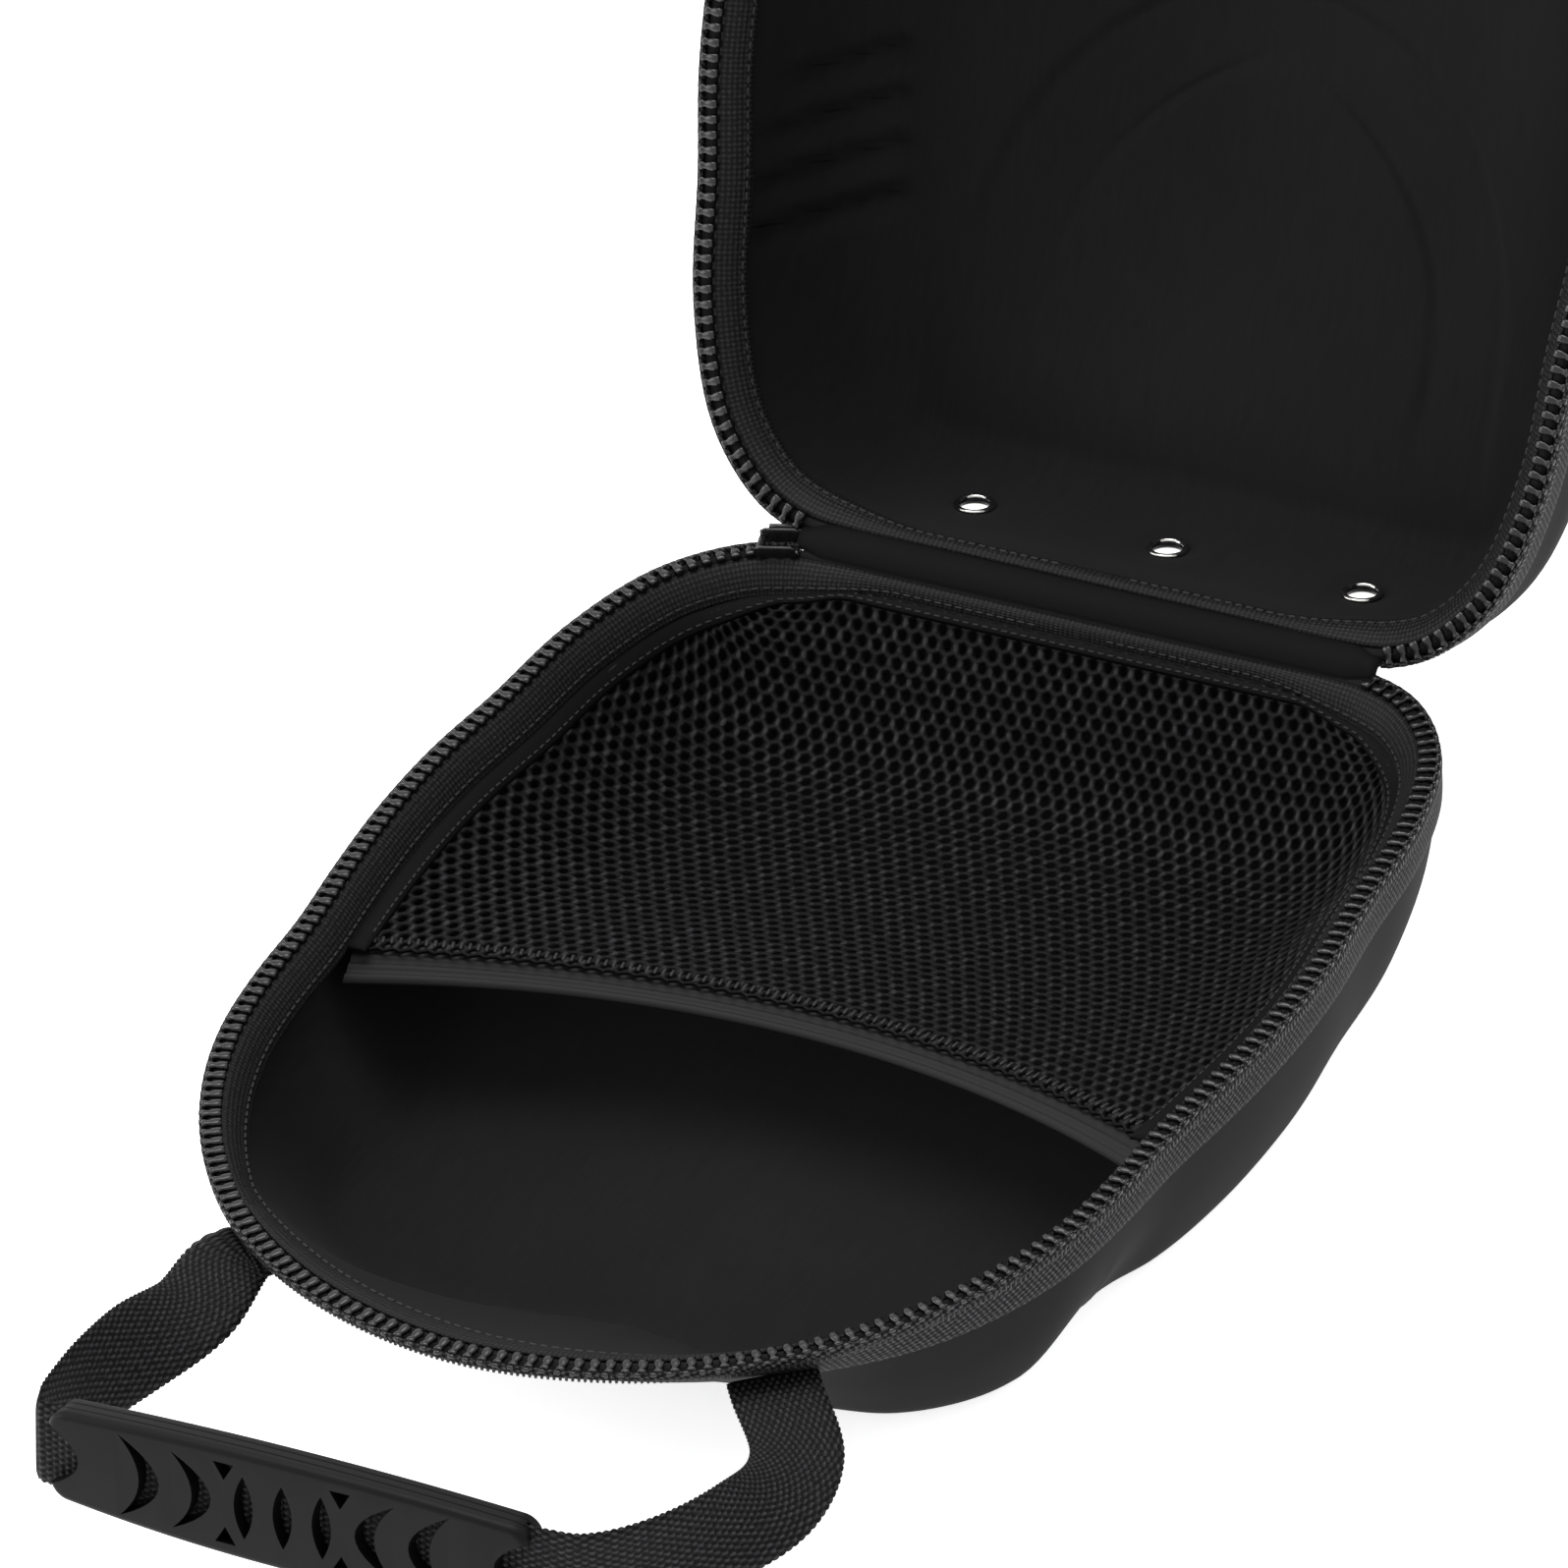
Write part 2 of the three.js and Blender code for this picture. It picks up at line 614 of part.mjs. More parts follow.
// The fabric strip that joins both shells, folded at the pivot line.
function makeHingeStrip() {
  const inner = -PIVOT_OFFSET + RUNNING_GAP;
  const outer = inner + HINGE_STRIP_THICKNESS;
  const open = THREE.MathUtils.degToRad(-LID_OPEN_ANGLE);
  const turned = (y, z) => new THREE.Vector2(y, z).rotateAround(new THREE.Vector2(), open);
  const path = [
    new THREE.Vector2(inner, -TAPE_WIDTH),
    new THREE.Vector2(inner, -RUNNING_GAP),
    turned(inner, RUNNING_GAP),
    turned(inner, TAPE_WIDTH),
    turned(outer, TAPE_WIDTH),
    turned(outer, HINGE_STRIP_THICKNESS),
    new THREE.Vector2(outer, -HINGE_STRIP_THICKNESS),
    new THREE.Vector2(outer, -TAPE_WIDTH),
  ];
  const strip = new THREE.ExtrudeGeometry(new THREE.Shape(path), {
    depth: HINGE_STRIP_LENGTH, bevelEnabled: false, steps: 1,
  });
  // The shape's own axes become Y and Z, and its depth runs along X.
  strip.applyMatrix4(new THREE.Matrix4().set(
    0, 0, 1, -HINGE_STRIP_LENGTH / 2,
    1, 0, 0, HINGE_Y + PIVOT_OFFSET,
    0, 1, 0, RIM_Z,
    0, 0, 0, 1));
  return strip;
}

// The right half of the rim in fine steps, and the opening's half width from it.
const openingEdge = Array.from({ length: ROUND_COUNT * 3 }, (_, i) => rimAt(i / ROUND_COUNT / 6));

function halfWidthAt(y, inset) {
  let best = 0;
  for (let i = 0; i + 1 < openingEdge.length; i += 1) {
    const [a, b] = [openingEdge[i], openingEdge[i + 1]].map((rim) => rim.p.clone()
      .addScaledVector(rim.inward, inset));
    if ((a.y - y) * (b.y - y) <= 0 && a.y !== b.y) {
      best = Math.max(best, THREE.MathUtils.lerp(a.x, b.x, (y - a.y) / (b.y - a.y)));
    }
  }
  return best;
}

// A sheet with a thickness, from rows of points on its upper face.
function thickSheet(grid, thickness) {
  const rows = grid.length;
  const columns = grid[0].length;
  const lower = grid.map((row, r) => row.map((p, c) => {
    const alongRow = row[Math.min(c + 1, columns - 1)].clone().sub(row[Math.max(c - 1, 0)]);
    const downRows = grid[Math.min(r + 1, rows - 1)][c].clone().sub(grid[Math.max(r - 1, 0)][c]);
    const normal = alongRow.cross(downRows).normalize();
    if (normal.z > 0) normal.negate();
    return p.clone().addScaledVector(normal, thickness);
  }));
  return skin(grid.map((row, r) => [...row, ...lower[r].reverse()]), { sheet: true });
}

const POCKET_INSET = WALL + BINDING_GAP + BINDING_RUN + RUNNING_GAP;
const POCKET_TOP = SEAM_TOP + BINDING_FALL + RUNNING_GAP;

// Point on the pocket's upper face. across runs -1 to 1, share 0 to 1 from the hinge.
function pocketPoint(across, share) {
  const reach = POCKET_LENGTH - POCKET_BOW * (1 - across ** 2);
  const y = HINGE_Y - POCKET_INSET - RUNNING_GAP - share * reach;
  const side = 1 - Math.abs(across) ** along(POCKET_TABLE, 'side', share);
  const sag = POCKET_SAG * along(POCKET_TABLE, 'sag', share) * side;
  return new THREE.Vector3(across * halfWidthAt(y, POCKET_INSET), y, -POCKET_TOP - sag);
}

function makePocket() {
  const end = 1 - ELASTIC_WIDTH / POCKET_LENGTH;
  const shares = POCKET_TABLE.map((row) => row.along * end);
  const grid = shares.map((share) => Array.from({ length: POCKET_COLUMNS + 1 }, (_, c) => {
    const across = Math.sin((c / POCKET_COLUMNS - 0.5) * Math.PI);
    return pocketPoint(across, share);
  }));
  return thickSheet(grid, POCKET_THICKNESS);
}

function makePocketElastic() {
  const gap = RUNNING_GAP / POCKET_LENGTH;
  const shares = [1 - ELASTIC_WIDTH / POCKET_LENGTH + gap, 1];
  const grid = shares.map((share) => Array.from({ length: POCKET_COLUMNS + 1 }, (_, c) => {
    const across = Math.sin((c / POCKET_COLUMNS - 0.5) * Math.PI);
    return pocketPoint(across, share);
  }));
  return thickSheet(grid, ELASTIC_THICKNESS);
}

// Route of the handle's webbing, left root to right root, with its turn at each point.
function handleRoute() {
  const near = -RIM_LENGTH / 2;
  const half = HANDLE_ROOT_SPAN / 2;
  const sideRoute = (table, side) => [
    ...rootPlaces(side),
    ...table.map((row) => ({
      at: new THREE.Vector3(side * row.across * half, near - row.out * HANDLE_REACH, RIM_Z - ROOT_DROP + row.lift),
      turn: -side * row.turn,
    })),
  ];
  const inGrip = [-1.07, -1, -0.9, -0.6, -0.3, 0, 0.3, 0.6, 0.9, 1.06].map((share) => {
    const x = GRIP_SHIFT + share * GRIP_LENGTH / 2;
    return { at: new THREE.Vector3(x, gripLine(x), RIM_Z - HANDLE_LEVEL), turn: 0 };
  });
  return [...sideRoute(HANDLE_LEFT, -1), ...inGrip, ...sideRoute(HANDLE_RIGHT, 1).reverse()];
}

// Where the webbing meets the tray wall, square to it and just outside the tape.
function rootPlaces(side) {
  const half = HANDLE_ROOT_SPAN / 2;
  let t = 0.5;
  while (t > 0.25 && rimCurve.getPoint(t).x < half) t -= 0.0005;
  const rim = rimAt(t);
  const face = tapeFace(wallSection(TRAY, rim).outer);
  const gap = RUNNING_GAP - acrossAt(face, ROOT_DROP - WEBBING_THICKNESS / 2);
  return [gap, gap + ROOT_STRAIGHT].map((out) => {
    const at = rim.p.clone().addScaledVector(rim.inward, -out);
    return { at: new THREE.Vector3(side * at.x, at.y, RIM_Z - ROOT_DROP), turn: -side };
  });
}

// The grip's middle line, bowed away from the case.
function gripLine(x) {
  const share = (x - GRIP_SHIFT) / (GRIP_LENGTH / 2);
  return -RIM_LENGTH / 2 - HANDLE_REACH + GRIP_BOW * share ** 2;
}

function makeWebbing() {
  const route = handleRoute();
  const curve = new THREE.CatmullRomCurve3(route.map((row) => row.at), false, 'centripetal');
  const spans = route.length - 1;
  const steps = spans * WEBBING_STEPS;
  const rings = [[], [], [], []];
  for (let i = 0; i <= steps; i += 1) {
    const t = i / steps;
    const at = curve.getPoint(t);
    const tangent = curve.getTangent(t);
    const low = Math.min(Math.floor(t * spans), spans - 1);
    const turn = THREE.MathUtils.lerp(route[low].turn, route[low + 1].turn, t * spans - low);
    const level = tangent.clone().cross(new THREE.Vector3(0, 0, 1)).normalize();
    const upright = level.clone().cross(tangent).normalize();
    const angle = turn * Math.PI / 2;
    const wide = upright.clone().multiplyScalar(Math.cos(angle)).addScaledVector(level, Math.sin(angle));
    const thick = tangent.clone().cross(wide).normalize();
    [[1, 1], [1, -1], [-1, -1], [-1, 1]].forEach(([w, n], k) => {
      rings[k].push(at.clone()
        .addScaledVector(wide, w * WEBBING_WIDTH / 2)
        .addScaledVector(thick, n * WEBBING_THICKNESS / 2));
    });
  }
  return skin(rings, { wrapRings: true, closedRound: false });
}

// Bends a piece of the straight grip along its bow, and sets it in its place.
function bendGrip(geometry) {
  const p = geometry.getAttribute('position');
  for (let i = 0; i < p.count; i += 1) {
    const x = p.getX(i) + GRIP_SHIFT;
    p.setXYZ(i, x, gripLine(x) + p.getZ(i), RIM_Z - HANDLE_LEVEL + p.getY(i));
  }
  return facingOut(mergedPositions(geometry));
}

function mergedPositions(geometry) {
  geometry.deleteAttribute('normal');
  geometry.deleteAttribute('uv');
  return mergeVertices(geometry, 1e-4);
}

// Outline of the grip's face: long edges that crown towards the middle, in short
// steps, and rounded corners.
function gripOutline() {
  const half = GRIP_LENGTH / 2;
  const highAt = (x) => THREE.MathUtils.lerp(GRIP_HEIGHT, GRIP_END_HEIGHT, (x / half) ** 2) / 2;
  const flat = half - GRIP_CORNER;
  const right = [];
  for (let k = 1; k <= GRIP_STEPS; k += 1) {
    right.push(new THREE.Vector2(k / GRIP_STEPS * flat, highAt(k / GRIP_STEPS * flat)));
  }
  for (const angle of [60, 30, 0]) {
    const a = THREE.MathUtils.degToRad(angle);
    right.push(new THREE.Vector2(
      half - GRIP_CORNER * (1 - Math.cos(a)), highAt(flat) - GRIP_CORNER * (1 - Math.sin(a))));
  }
  const left = right.map((q) => new THREE.Vector2(-q.x, q.y)).reverse();
  const upper = [...left, new THREE.Vector2(0, highAt(0)), ...right];
  return new THREE.Shape([...upper, ...upper.map((q) => new THREE.Vector2(q.x, -q.y)).reverse()]);
}

// One window in the grip's front plate, between two arcs that meet at two tips.
// near and far are where the arcs stand from the middle, tips where they meet.
function windowBetween(near, far, tips, high) {
  const arc = (bulge, up) => Array.from({ length: WINDOW_STEPS + 1 }, (_, k) => {
    const z = THREE.MathUtils.lerp(-high, high, k / WINDOW_STEPS) * (up ? 1 : -1);
    return new THREE.Vector2(tips + (bulge - tips) * (1 - (z / high) ** 2), z);
  });
  return new THREE.Shape([...arc(near, true), ...arc(far, false).slice(1, -1)]);
}

function gripWindows() {
  const shapes = [windowBetween(-GRIP_SLIT / 2, GRIP_SLIT / 2, 0, GRIP_SLIT_HEIGHT / 2)];
  for (const side of [-1, 1]) {
    for (const row of GRIP_WINDOWS) {
      shapes.push(windowBetween(side * row.near, side * row.far, side * row.tips, row.height / 2));
    }
    for (const up of [-1, 1]) {
      shapes.push(new THREE.Shape([
        new THREE.Vector2(side * GRIP_NOTCH.near, up * GRIP_NOTCH.high),
        new THREE.Vector2(side * GRIP_NOTCH.far, up * GRIP_NOTCH.high),
        new THREE.Vector2(side * (GRIP_NOTCH.near + GRIP_NOTCH.far) / 2, up * GRIP_NOTCH.low),
      ]));
    }
  }
  return shapes;
}

function makeGrip() {
  const bevel = { bevelEnabled: true, bevelThickness: GRIP_EDGE, bevelSize: GRIP_EDGE, bevelOffset: -GRIP_EDGE };
  const body = new THREE.ExtrudeGeometry(gripOutline(), {
    depth: GRIP_THICKNESS - 2 * GRIP_EDGE, steps: 1, bevelSegments: 1, ...bevel,
  });
  body.translate(0, 0, GRIP_EDGE - GRIP_THICKNESS / 2);
  const slotWide = WEBBING_THICKNESS + 2 * GRIP_SLOT_CLEARANCE;
  const slotHigh = WEBBING_WIDTH + 2 * GRIP_SLOT_CLEARANCE;
  const slot = new THREE.BoxGeometry(GRIP_LENGTH + 10, slotHigh, slotWide, 2 * GRIP_STEPS, 1, 1);
  let solid = solidOf(bendGrip(body)).subtract(solidOf(bendGrip(slot)));
  for (const shape of gripWindows()) {
    const cut = new THREE.ExtrudeGeometry(shape, { depth: GRIP_THICKNESS, bevelEnabled: false, steps: 1 });
    cut.translate(0, 0, -GRIP_THICKNESS);
    solid = solid.subtract(solidOf(bendGrip(cut)));
  }
  return geometryOf(solid);
}

function meshOf(name, geometry, { colour, roughness, metalness = 0 }) {
  const mesh = new THREE.Mesh(geometry, new THREE.MeshStandardMaterial({ color: colour, roughness, metalness }));
  mesh.name = name;
  return mesh;
}

const SHELL = { colour: '#1b1b1c', roughness: 0.8 };
const FABRIC = { colour: '#17171a', roughness: 0.9 };
const SATIN = { colour: '#101012', roughness: 0.55 };
const TEETH = { colour: '#242426', roughness: 0.35 };
const WEBBING = { colour: '#18181a', roughness: 0.85 };
const GRIP = { colour: '#1f1f21', roughness: 0.45 };
const NICKEL = { colour: '#c9c9cc', roughness: 0.15, metalness: 1 };
const SLIDER = { colour: '#161617', roughness: 0.4, metalness: 0.2 };

function makeTray() {
  const tray = new THREE.Group();
  tray.position.z = RIM_Z;
  tray.add(
    meshOf('tray_shell', makeTrayShell(), SHELL),
    meshOf('tray_binding', makeBinding(TRAY), SATIN),
    meshOf('tray_zipper_tape', makeZipperTape(TRAY), FABRIC),
    meshOf('tray_zipper_teeth', makeToothRow(-1), TEETH),
    meshOf('zip_slider', makeZipSlider(), SLIDER),
    meshOf('mesh_pocket', makePocket(), FABRIC),
    meshOf('pocket_elastic', makePocketElastic(), FABRIC),
  );
  return tray;
}

function makeLid() {
  const closed = new THREE.Group();
  closed.position.y = -HINGE_Y - PIVOT_OFFSET;
  closed.add(
    meshOf('lid_shell', makeLidShell(), SHELL),
    meshOf('lid_binding', makeBinding(LID), SATIN),
    meshOf('lid_zipper_tape', makeZipperTape(LID), FABRIC),
    meshOf('lid_zipper_teeth', makeToothRow(1), TEETH),
  );
  const names = ['eyelet_left', 'eyelet_middle', 'eyelet_right'];
  eyeletPlaces().forEach((place, i) => {
    const eyelet = meshOf(names[i], makeEyelet(), NICKEL);
    eyelet.applyMatrix4(place);
    closed.add(eyelet);
  });
  const lid = new THREE.Group();
  lid.position.set(0, HINGE_Y + PIVOT_OFFSET, RIM_Z);
  lid.rotation.x = -THREE.MathUtils.degToRad(LID_OPEN_ANGLE);
  lid.add(closed);
  return lid;
}

const carrierCase = new THREE.Group();
carrierCase.add(
  makeTray(),
  makeLid(),
  meshOf('hinge_strip', makeHingeStrip(), FABRIC),
  meshOf('handle_webbing', makeWebbing(), WEBBING),
  meshOf('handle_grip', makeGrip(), GRIP),
);

export default carrierCase;
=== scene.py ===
"""Finish of a moulded baseball cap carrier case, shown open. Sizes are in millimetres
and become metres where a mesh is made. Shell space has x across, y towards the hinge and
the depth under the rim plane; the tray hangs down from that plane and the lid stands up
from it before it is turned open."""
import math

import bmesh
import bpy
import numpy as np
from mathutils import Matrix, Vector


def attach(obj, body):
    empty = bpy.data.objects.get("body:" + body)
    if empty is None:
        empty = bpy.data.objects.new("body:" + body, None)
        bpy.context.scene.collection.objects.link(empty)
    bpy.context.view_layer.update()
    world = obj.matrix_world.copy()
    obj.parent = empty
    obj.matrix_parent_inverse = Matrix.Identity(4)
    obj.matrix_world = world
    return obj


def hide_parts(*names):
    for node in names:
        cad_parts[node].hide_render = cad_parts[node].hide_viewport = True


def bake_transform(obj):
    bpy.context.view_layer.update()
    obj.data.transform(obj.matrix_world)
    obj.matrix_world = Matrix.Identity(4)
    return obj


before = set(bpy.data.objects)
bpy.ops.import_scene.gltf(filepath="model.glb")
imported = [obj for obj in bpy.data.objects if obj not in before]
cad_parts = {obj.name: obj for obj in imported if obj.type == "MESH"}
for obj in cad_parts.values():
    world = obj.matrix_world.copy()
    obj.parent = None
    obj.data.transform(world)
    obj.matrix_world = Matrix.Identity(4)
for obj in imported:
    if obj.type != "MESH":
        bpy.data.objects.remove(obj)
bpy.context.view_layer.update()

MM = 0.001


def table_of(names, *rows):
    """Rows of numbers, with a name for each column."""
    return [dict(zip(names.split(), row)) for row in rows]


# Rim and shells
RIM_LENGTH = 290
RIM_WIDTH = 221
WALL = 3
TRAY_DEPTH = 48
LID_DEPTH = 59
LID_CROWN = 11
LID_OPEN_ANGLE = 115
RIM_DROP = 2.5
LIP_ROUND = 1.1
PIVOT_OFFSET = 0.9
TRAY_INSETS = {"hinge": 15, "side": 16, "near": 72}
LID_INSETS = {"hinge": 18, "side": 27, "near": 62}
STATIONS = 400
WALL_ROWS = 24
TRAY_FLOOR_RINGS = 16
LID_FLOOR_RINGS = 44
LID_UNDER_RINGS = 20
RIM_FAIRING = 5

# Zipper, tapes and bindings
TOOTH_PITCH = 3.45
TEETH_START = 71.2
TAPE_WIDTH = 8.5
TAPE_THICKNESS = 0.9
TAPE_GAP = 0.3
TAPE_ROWS = 8
BINDING_WIDTH = 5.2
BINDING_DEPTH = 6.5
BINDING_BULGE = 0.7
SEAM_SHARE = 0.86

# Small bars in rows: length, width, height and corner, and their pitch
TOOTH_CAP = (1.5, 1.0, 0.9, 0.3)
CORD_LOOP = (0.6, 0.6, 1.5, 0.2)
CORD_LOOP_PITCH = 1.35
BINDING_STITCH = (1.7, 0.55, 0.4, 0.15)
STITCH_PITCH = 2.6
HEM_STITCH = (1.5, 0.5, 0.4, 0.12)
HEM_STITCH_PITCH = 2.4
OVERLOCK = (0.7, 2.2, 0.7, 0.3)
OVERLOCK_PITCH = 1.9

# Hinge strip
HINGE_STRIP_LENGTH = 140
HINGE_STRIP_THICKNESS = 0.8

# Lid relief: two arches on the crown and the vent bands at each side
ARCHES = table_of(
    "half spring apex blunt step",
    (65, 58, 130, 2.0, 1.1), (47, 56, 114, 1.4, -0.9),
)
ARCH_SLOPE = 1.6
ARCH_LIP = 0.9
ARCH_LIP_WIDTH = 1.3
VENT_COUNT = 4
VENT_PITCH = 11.5
VENT_FOOT = 52
VENT_END = 104
VENT_SLANT = 0.5
VENT_RELIEF = 3.2

# Eyelets
EYELET_PITCH = 48.5
EYELET_RADIUS = 4.8
EYELET_HOLE = 3.25
EYELET_BARREL = 3.75
EYELET_SIDES = 48
EYELET_PINCH = 0.85

# Mesh pocket
POCKET_LENGTH = 157
POCKET_BOW = 22
POCKET_SAG = 25
POCKET_THICKNESS = 1.0
POCKET_INSET = 9.0
POCKET_TOP = 9.3
HOLE_PITCH = 3.75
HOLE_ROW = 3.2
FIRST_HOLE_ROW = 1.6
HEM_WIDTH = 3.4
ELASTIC_WIDTH = 9
ELASTIC_THICKNESS = 1.8
ELASTIC_RIBS = 4
ELASTIC_HANG = 4.6

# Slider: each part's length, width, height and corner, and its place on the rim
SLIDER_ACROSS = 75.6
SLIDER_PARTS = {
    "slider_outer_plate": ((9.0, 0.8, 4.0, 0.35), (0, -2.0, 0)),
    "slider_inner_plate": ((9.0, 0.8, 3.0, 0.35), (0, 4.6, 0.2)),
    "slider_divider": ((1.6, 6.2, 0.5, 0.2), (3.9, 1.3, 0)),
    "slider_bridge": ((6.0, 1.0, 2.6, 0.4), (0, -2.8, 0)),
    "slider_puller": ((6.6, 1.1, 21.0, 0.5), (0, -3.5, -8.4)),
}

# Handle
WEBBING_WIDTH = 20
WEBBING_THICKNESS = 1.6
RIB_PITCH = 1.62
HANDLE_REACH = 59
HANDLE_ROOT_SPAN = 128
HANDLE_LEVEL = 2
ROOT_DROP = 8.5
ROOT_STRAIGHT = 6
GRIP_LENGTH = 116
GRIP_HEIGHT = 26
GRIP_END_HEIGHT = 20.5
GRIP_SHIFT = -6
GRIP_THICKNESS = 8.4
GRIP_BOW = 1.5
GRIP_CORNER = 5
GRIP_TILT = 9
GRIP_EDGE = 1.7
GRIP_STATIONS = 28
PARTING_DEPTH = 0.3
GRIP_SLIT = 4.6
GRIP_SLIT_HEIGHT = 15
GRIP_WINDOWS = table_of(
    "near far tips height",
    (7.1, 11.7, 9.4, 15.0), (17.3, 22.0, 27.0, 18.5), (30.0, 35.0, 40.0, 19.5), (50.0, 70.0, 60.0, 17.0),
)
GRIP_NOTCH = {"near": 11.5, "far": 16.5, "high": 9.6, "low": 5.6}

# Camera: where the photograph was taken from, with no shift
CAMERA_AXES = ((0.87778, 0.47021, -0.09165), (-0.20746, 0.54556, 0.81199), (0.43181, -0.69373, 0.57643))
CAMERA_PLACE = (1938.7, -3102.9, 2677.3)
CAMERA_LENS = 480
SENSOR_WIDTH = 36

# Half of the rim from above. along: share of the length; half: share of the half width.
RIM_TABLE = table_of(
    "along half",
    (0.000, 0.00), (0.000, 0.30), (0.000, 0.57), (0.003, 0.66), (0.020, 0.76),
    (0.070, 0.875), (0.160, 0.948), (0.260, 0.972), (0.340, 0.997), (0.420, 1.000),
    (0.500, 0.984), (0.570, 0.963), (0.640, 0.955), (0.710, 0.930), (0.780, 0.868),
    (0.850, 0.762), (0.920, 0.590), (0.975, 0.335), (1.000, 0.00),
)

# Walls from the rim down, as shares of the inset and the depth.
TRAY_WALL = table_of(
    "inset depth",
    (0.00, 0.00), (0.03, 0.20), (0.22, 0.52), (0.50, 0.78), (0.76, 0.94), (1.00, 1.00),
)
LID_WALL = table_of(
    "inset depth",
    (0.00, 0.00), (0.05, 0.27), (0.11, 0.49), (0.36, 0.79), (0.66, 0.94), (1.00, 1.00),
)

# Along the case from the hinge. pull: 0 side inset, 1 near inset; slant: 1 is straight.
TRAY_ALONG = table_of(
    "along pull slant height",
    (0.00, 0.00, 0.00, 1.00), (0.40, 0.00, 0.00, 1.00), (0.54, 0.04, 0.00, 1.00),
    (0.63, 0.20, 0.05, 1.00), (0.72, 0.11, 0.10, 1.00), (0.82, 0.30, 0.30, 1.00),
    (0.92, 0.74, 0.70, 1.00), (1.00, 1.00, 0.90, 1.00),
)
LID_ALONG = table_of(
    "along pull slant height",
    (0.00, 0.00, 0.00, 0.98), (0.30, 0.00, 0.00, 1.00), (0.50, 0.06, 0.00, 0.98),
    (0.70, 0.32, 0.05, 0.86), (0.86, 0.75, 0.10, 0.70), (1.00, 1.00, 0.15, 0.60),
)

# Pocket from the hinge rim to the elastic: shares of its length and its sag.
POCKET_TABLE = table_of(
    "along sag side",
    (0.00, 0.00, 8), (0.04, 0.32, 8), (0.09, 0.72, 8), (0.16, 1.00, 7), (0.30, 1.02, 6),
    (0.48, 0.86, 5), (0.66, 0.62, 4), (0.84, 0.34, 3), (1.00, 0.12, 2),
)

# Webbing route from root to grip, as in the part's source.
HANDLE_LEFT = table_of(
    "across out lift turn",
    (1.01, -0.02, 0.5, 0.80), (1.06, 0.30, 2.5, 0.42), (1.09, 0.64, 4.8, 0.12), (1.09, 0.88, 6.0, 0.00),
)
HANDLE_RIGHT = table_of(
    "across out lift turn",
    (1.24, -0.08, -0.5, 0.95), (1.31, 0.20, 1.0, 0.70), (1.27, 0.48, 3.2, 0.32),
    (1.14, 0.75, 5.0, 0.06), (0.97, 0.93, 6.0, 0.00),
)

RIM_Z = TRAY_DEPTH
HINGE_Y = RIM_LENGTH / 2
HALF_WIDTH = RIM_WIDTH / 2
TRAY_PLACE = Matrix.Translation((0, 0, RIM_Z))
LID_PLACE = (
    Matrix.Translation((0, HINGE_Y + PIVOT_OFFSET, RIM_Z))
    @ Matrix.Rotation(-math.radians(LID_OPEN_ANGLE), 4, "X")
    @ Matrix.Translation((0, -HINGE_Y - PIVOT_OFFSET, 0))
)


# Curves and tables

def smooth_step(low, high, value):
    t = np.clip((np.asarray(value, float) - low) / (high - low), 0, 1)
    return t * t * (3 - 2 * t)


def unit(vectors):
    """The vectors of the last axis, each made one long."""
    return vectors / np.maximum(np.linalg.norm(vectors, axis=-1, keepdims=True), 1e-9)


def distances(path):
    """The distance run at each point of a path."""
    return np.concatenate([[0], np.cumsum(np.linalg.norm(np.diff(path, axis=0), axis=1))])


def evenly(path, wanted):
    """Points at wanted distances from a path's start."""
    run = distances(path)
    return np.stack([np.interp(wanted, run, axis) for axis in path.T], 1)


def bent(t, start, leaving, end, arriving):
    """The cubic between two values with given slopes at both, t from 0 to 1."""
    return (
        (2 * t**3 - 3 * t**2 + 1) * start + (t**3 - 2 * t**2 + t) * leaving
        + (3 * t**2 - 2 * t**3) * end + (t**3 - t**2) * arriving
    )


def column(table, name):
    return np.array([row[name] for row in table], float)


def along(table, name, share):
    """Value of one column at shares, on a smooth curve through the rows."""
    x, y = column(table, "along"), column(table, name)
    share = np.clip(np.asarray(share, float), x[0], x[-1])
    last = len(x) - 1
    before, after = np.clip([np.arange(-1, last), np.arange(1, last + 2)], 0, last)
    slope = (y[after] - y[before]) / (x[after] - x[before])
    row = np.clip(np.searchsorted(x, share, side="right") - 1, 0, last - 1)
    width = x[row + 1] - x[row]
    t = (share - x[row]) / width
    return bent(t, y[row], width * slope[row], y[row + 1], width * slope[row + 1])


def curve_through(points, steps, closed=False):
    """Centripetal curve through points, with an even number of steps in each span."""
    points = np.asarray(points, float)
    if closed:
        ring = np.vstack([points[-1], points, points[:2]])
    else:
        ring = np.vstack([2 * points[0] - points[1], points, 2 * points[-1] - points[-2]])
    t = np.arange(steps)[:, None] / steps
    out = []
    for p0, p1, p2, p3 in zip(ring, ring[1:], ring[2:], ring[3:]):
        d = [max(np.linalg.norm(b - a) ** 0.5, 1e-4) for a, b in ((p0, p1), (p1, p2), (p2, p3))]
        m1 = ((p1 - p0) / d[0] - (p2 - p0) / (d[0] + d[1]) + (p2 - p1) / d[1]) * d[1]
        m2 = ((p2 - p1) / d[1] - (p3 - p1) / (d[1] + d[2]) + (p3 - p2) / d[2]) * d[1]
        out.append(bent(t, p1, m1, p2, m2))
    if not closed:
        out.append(points[-1:])
    return np.vstack(out)


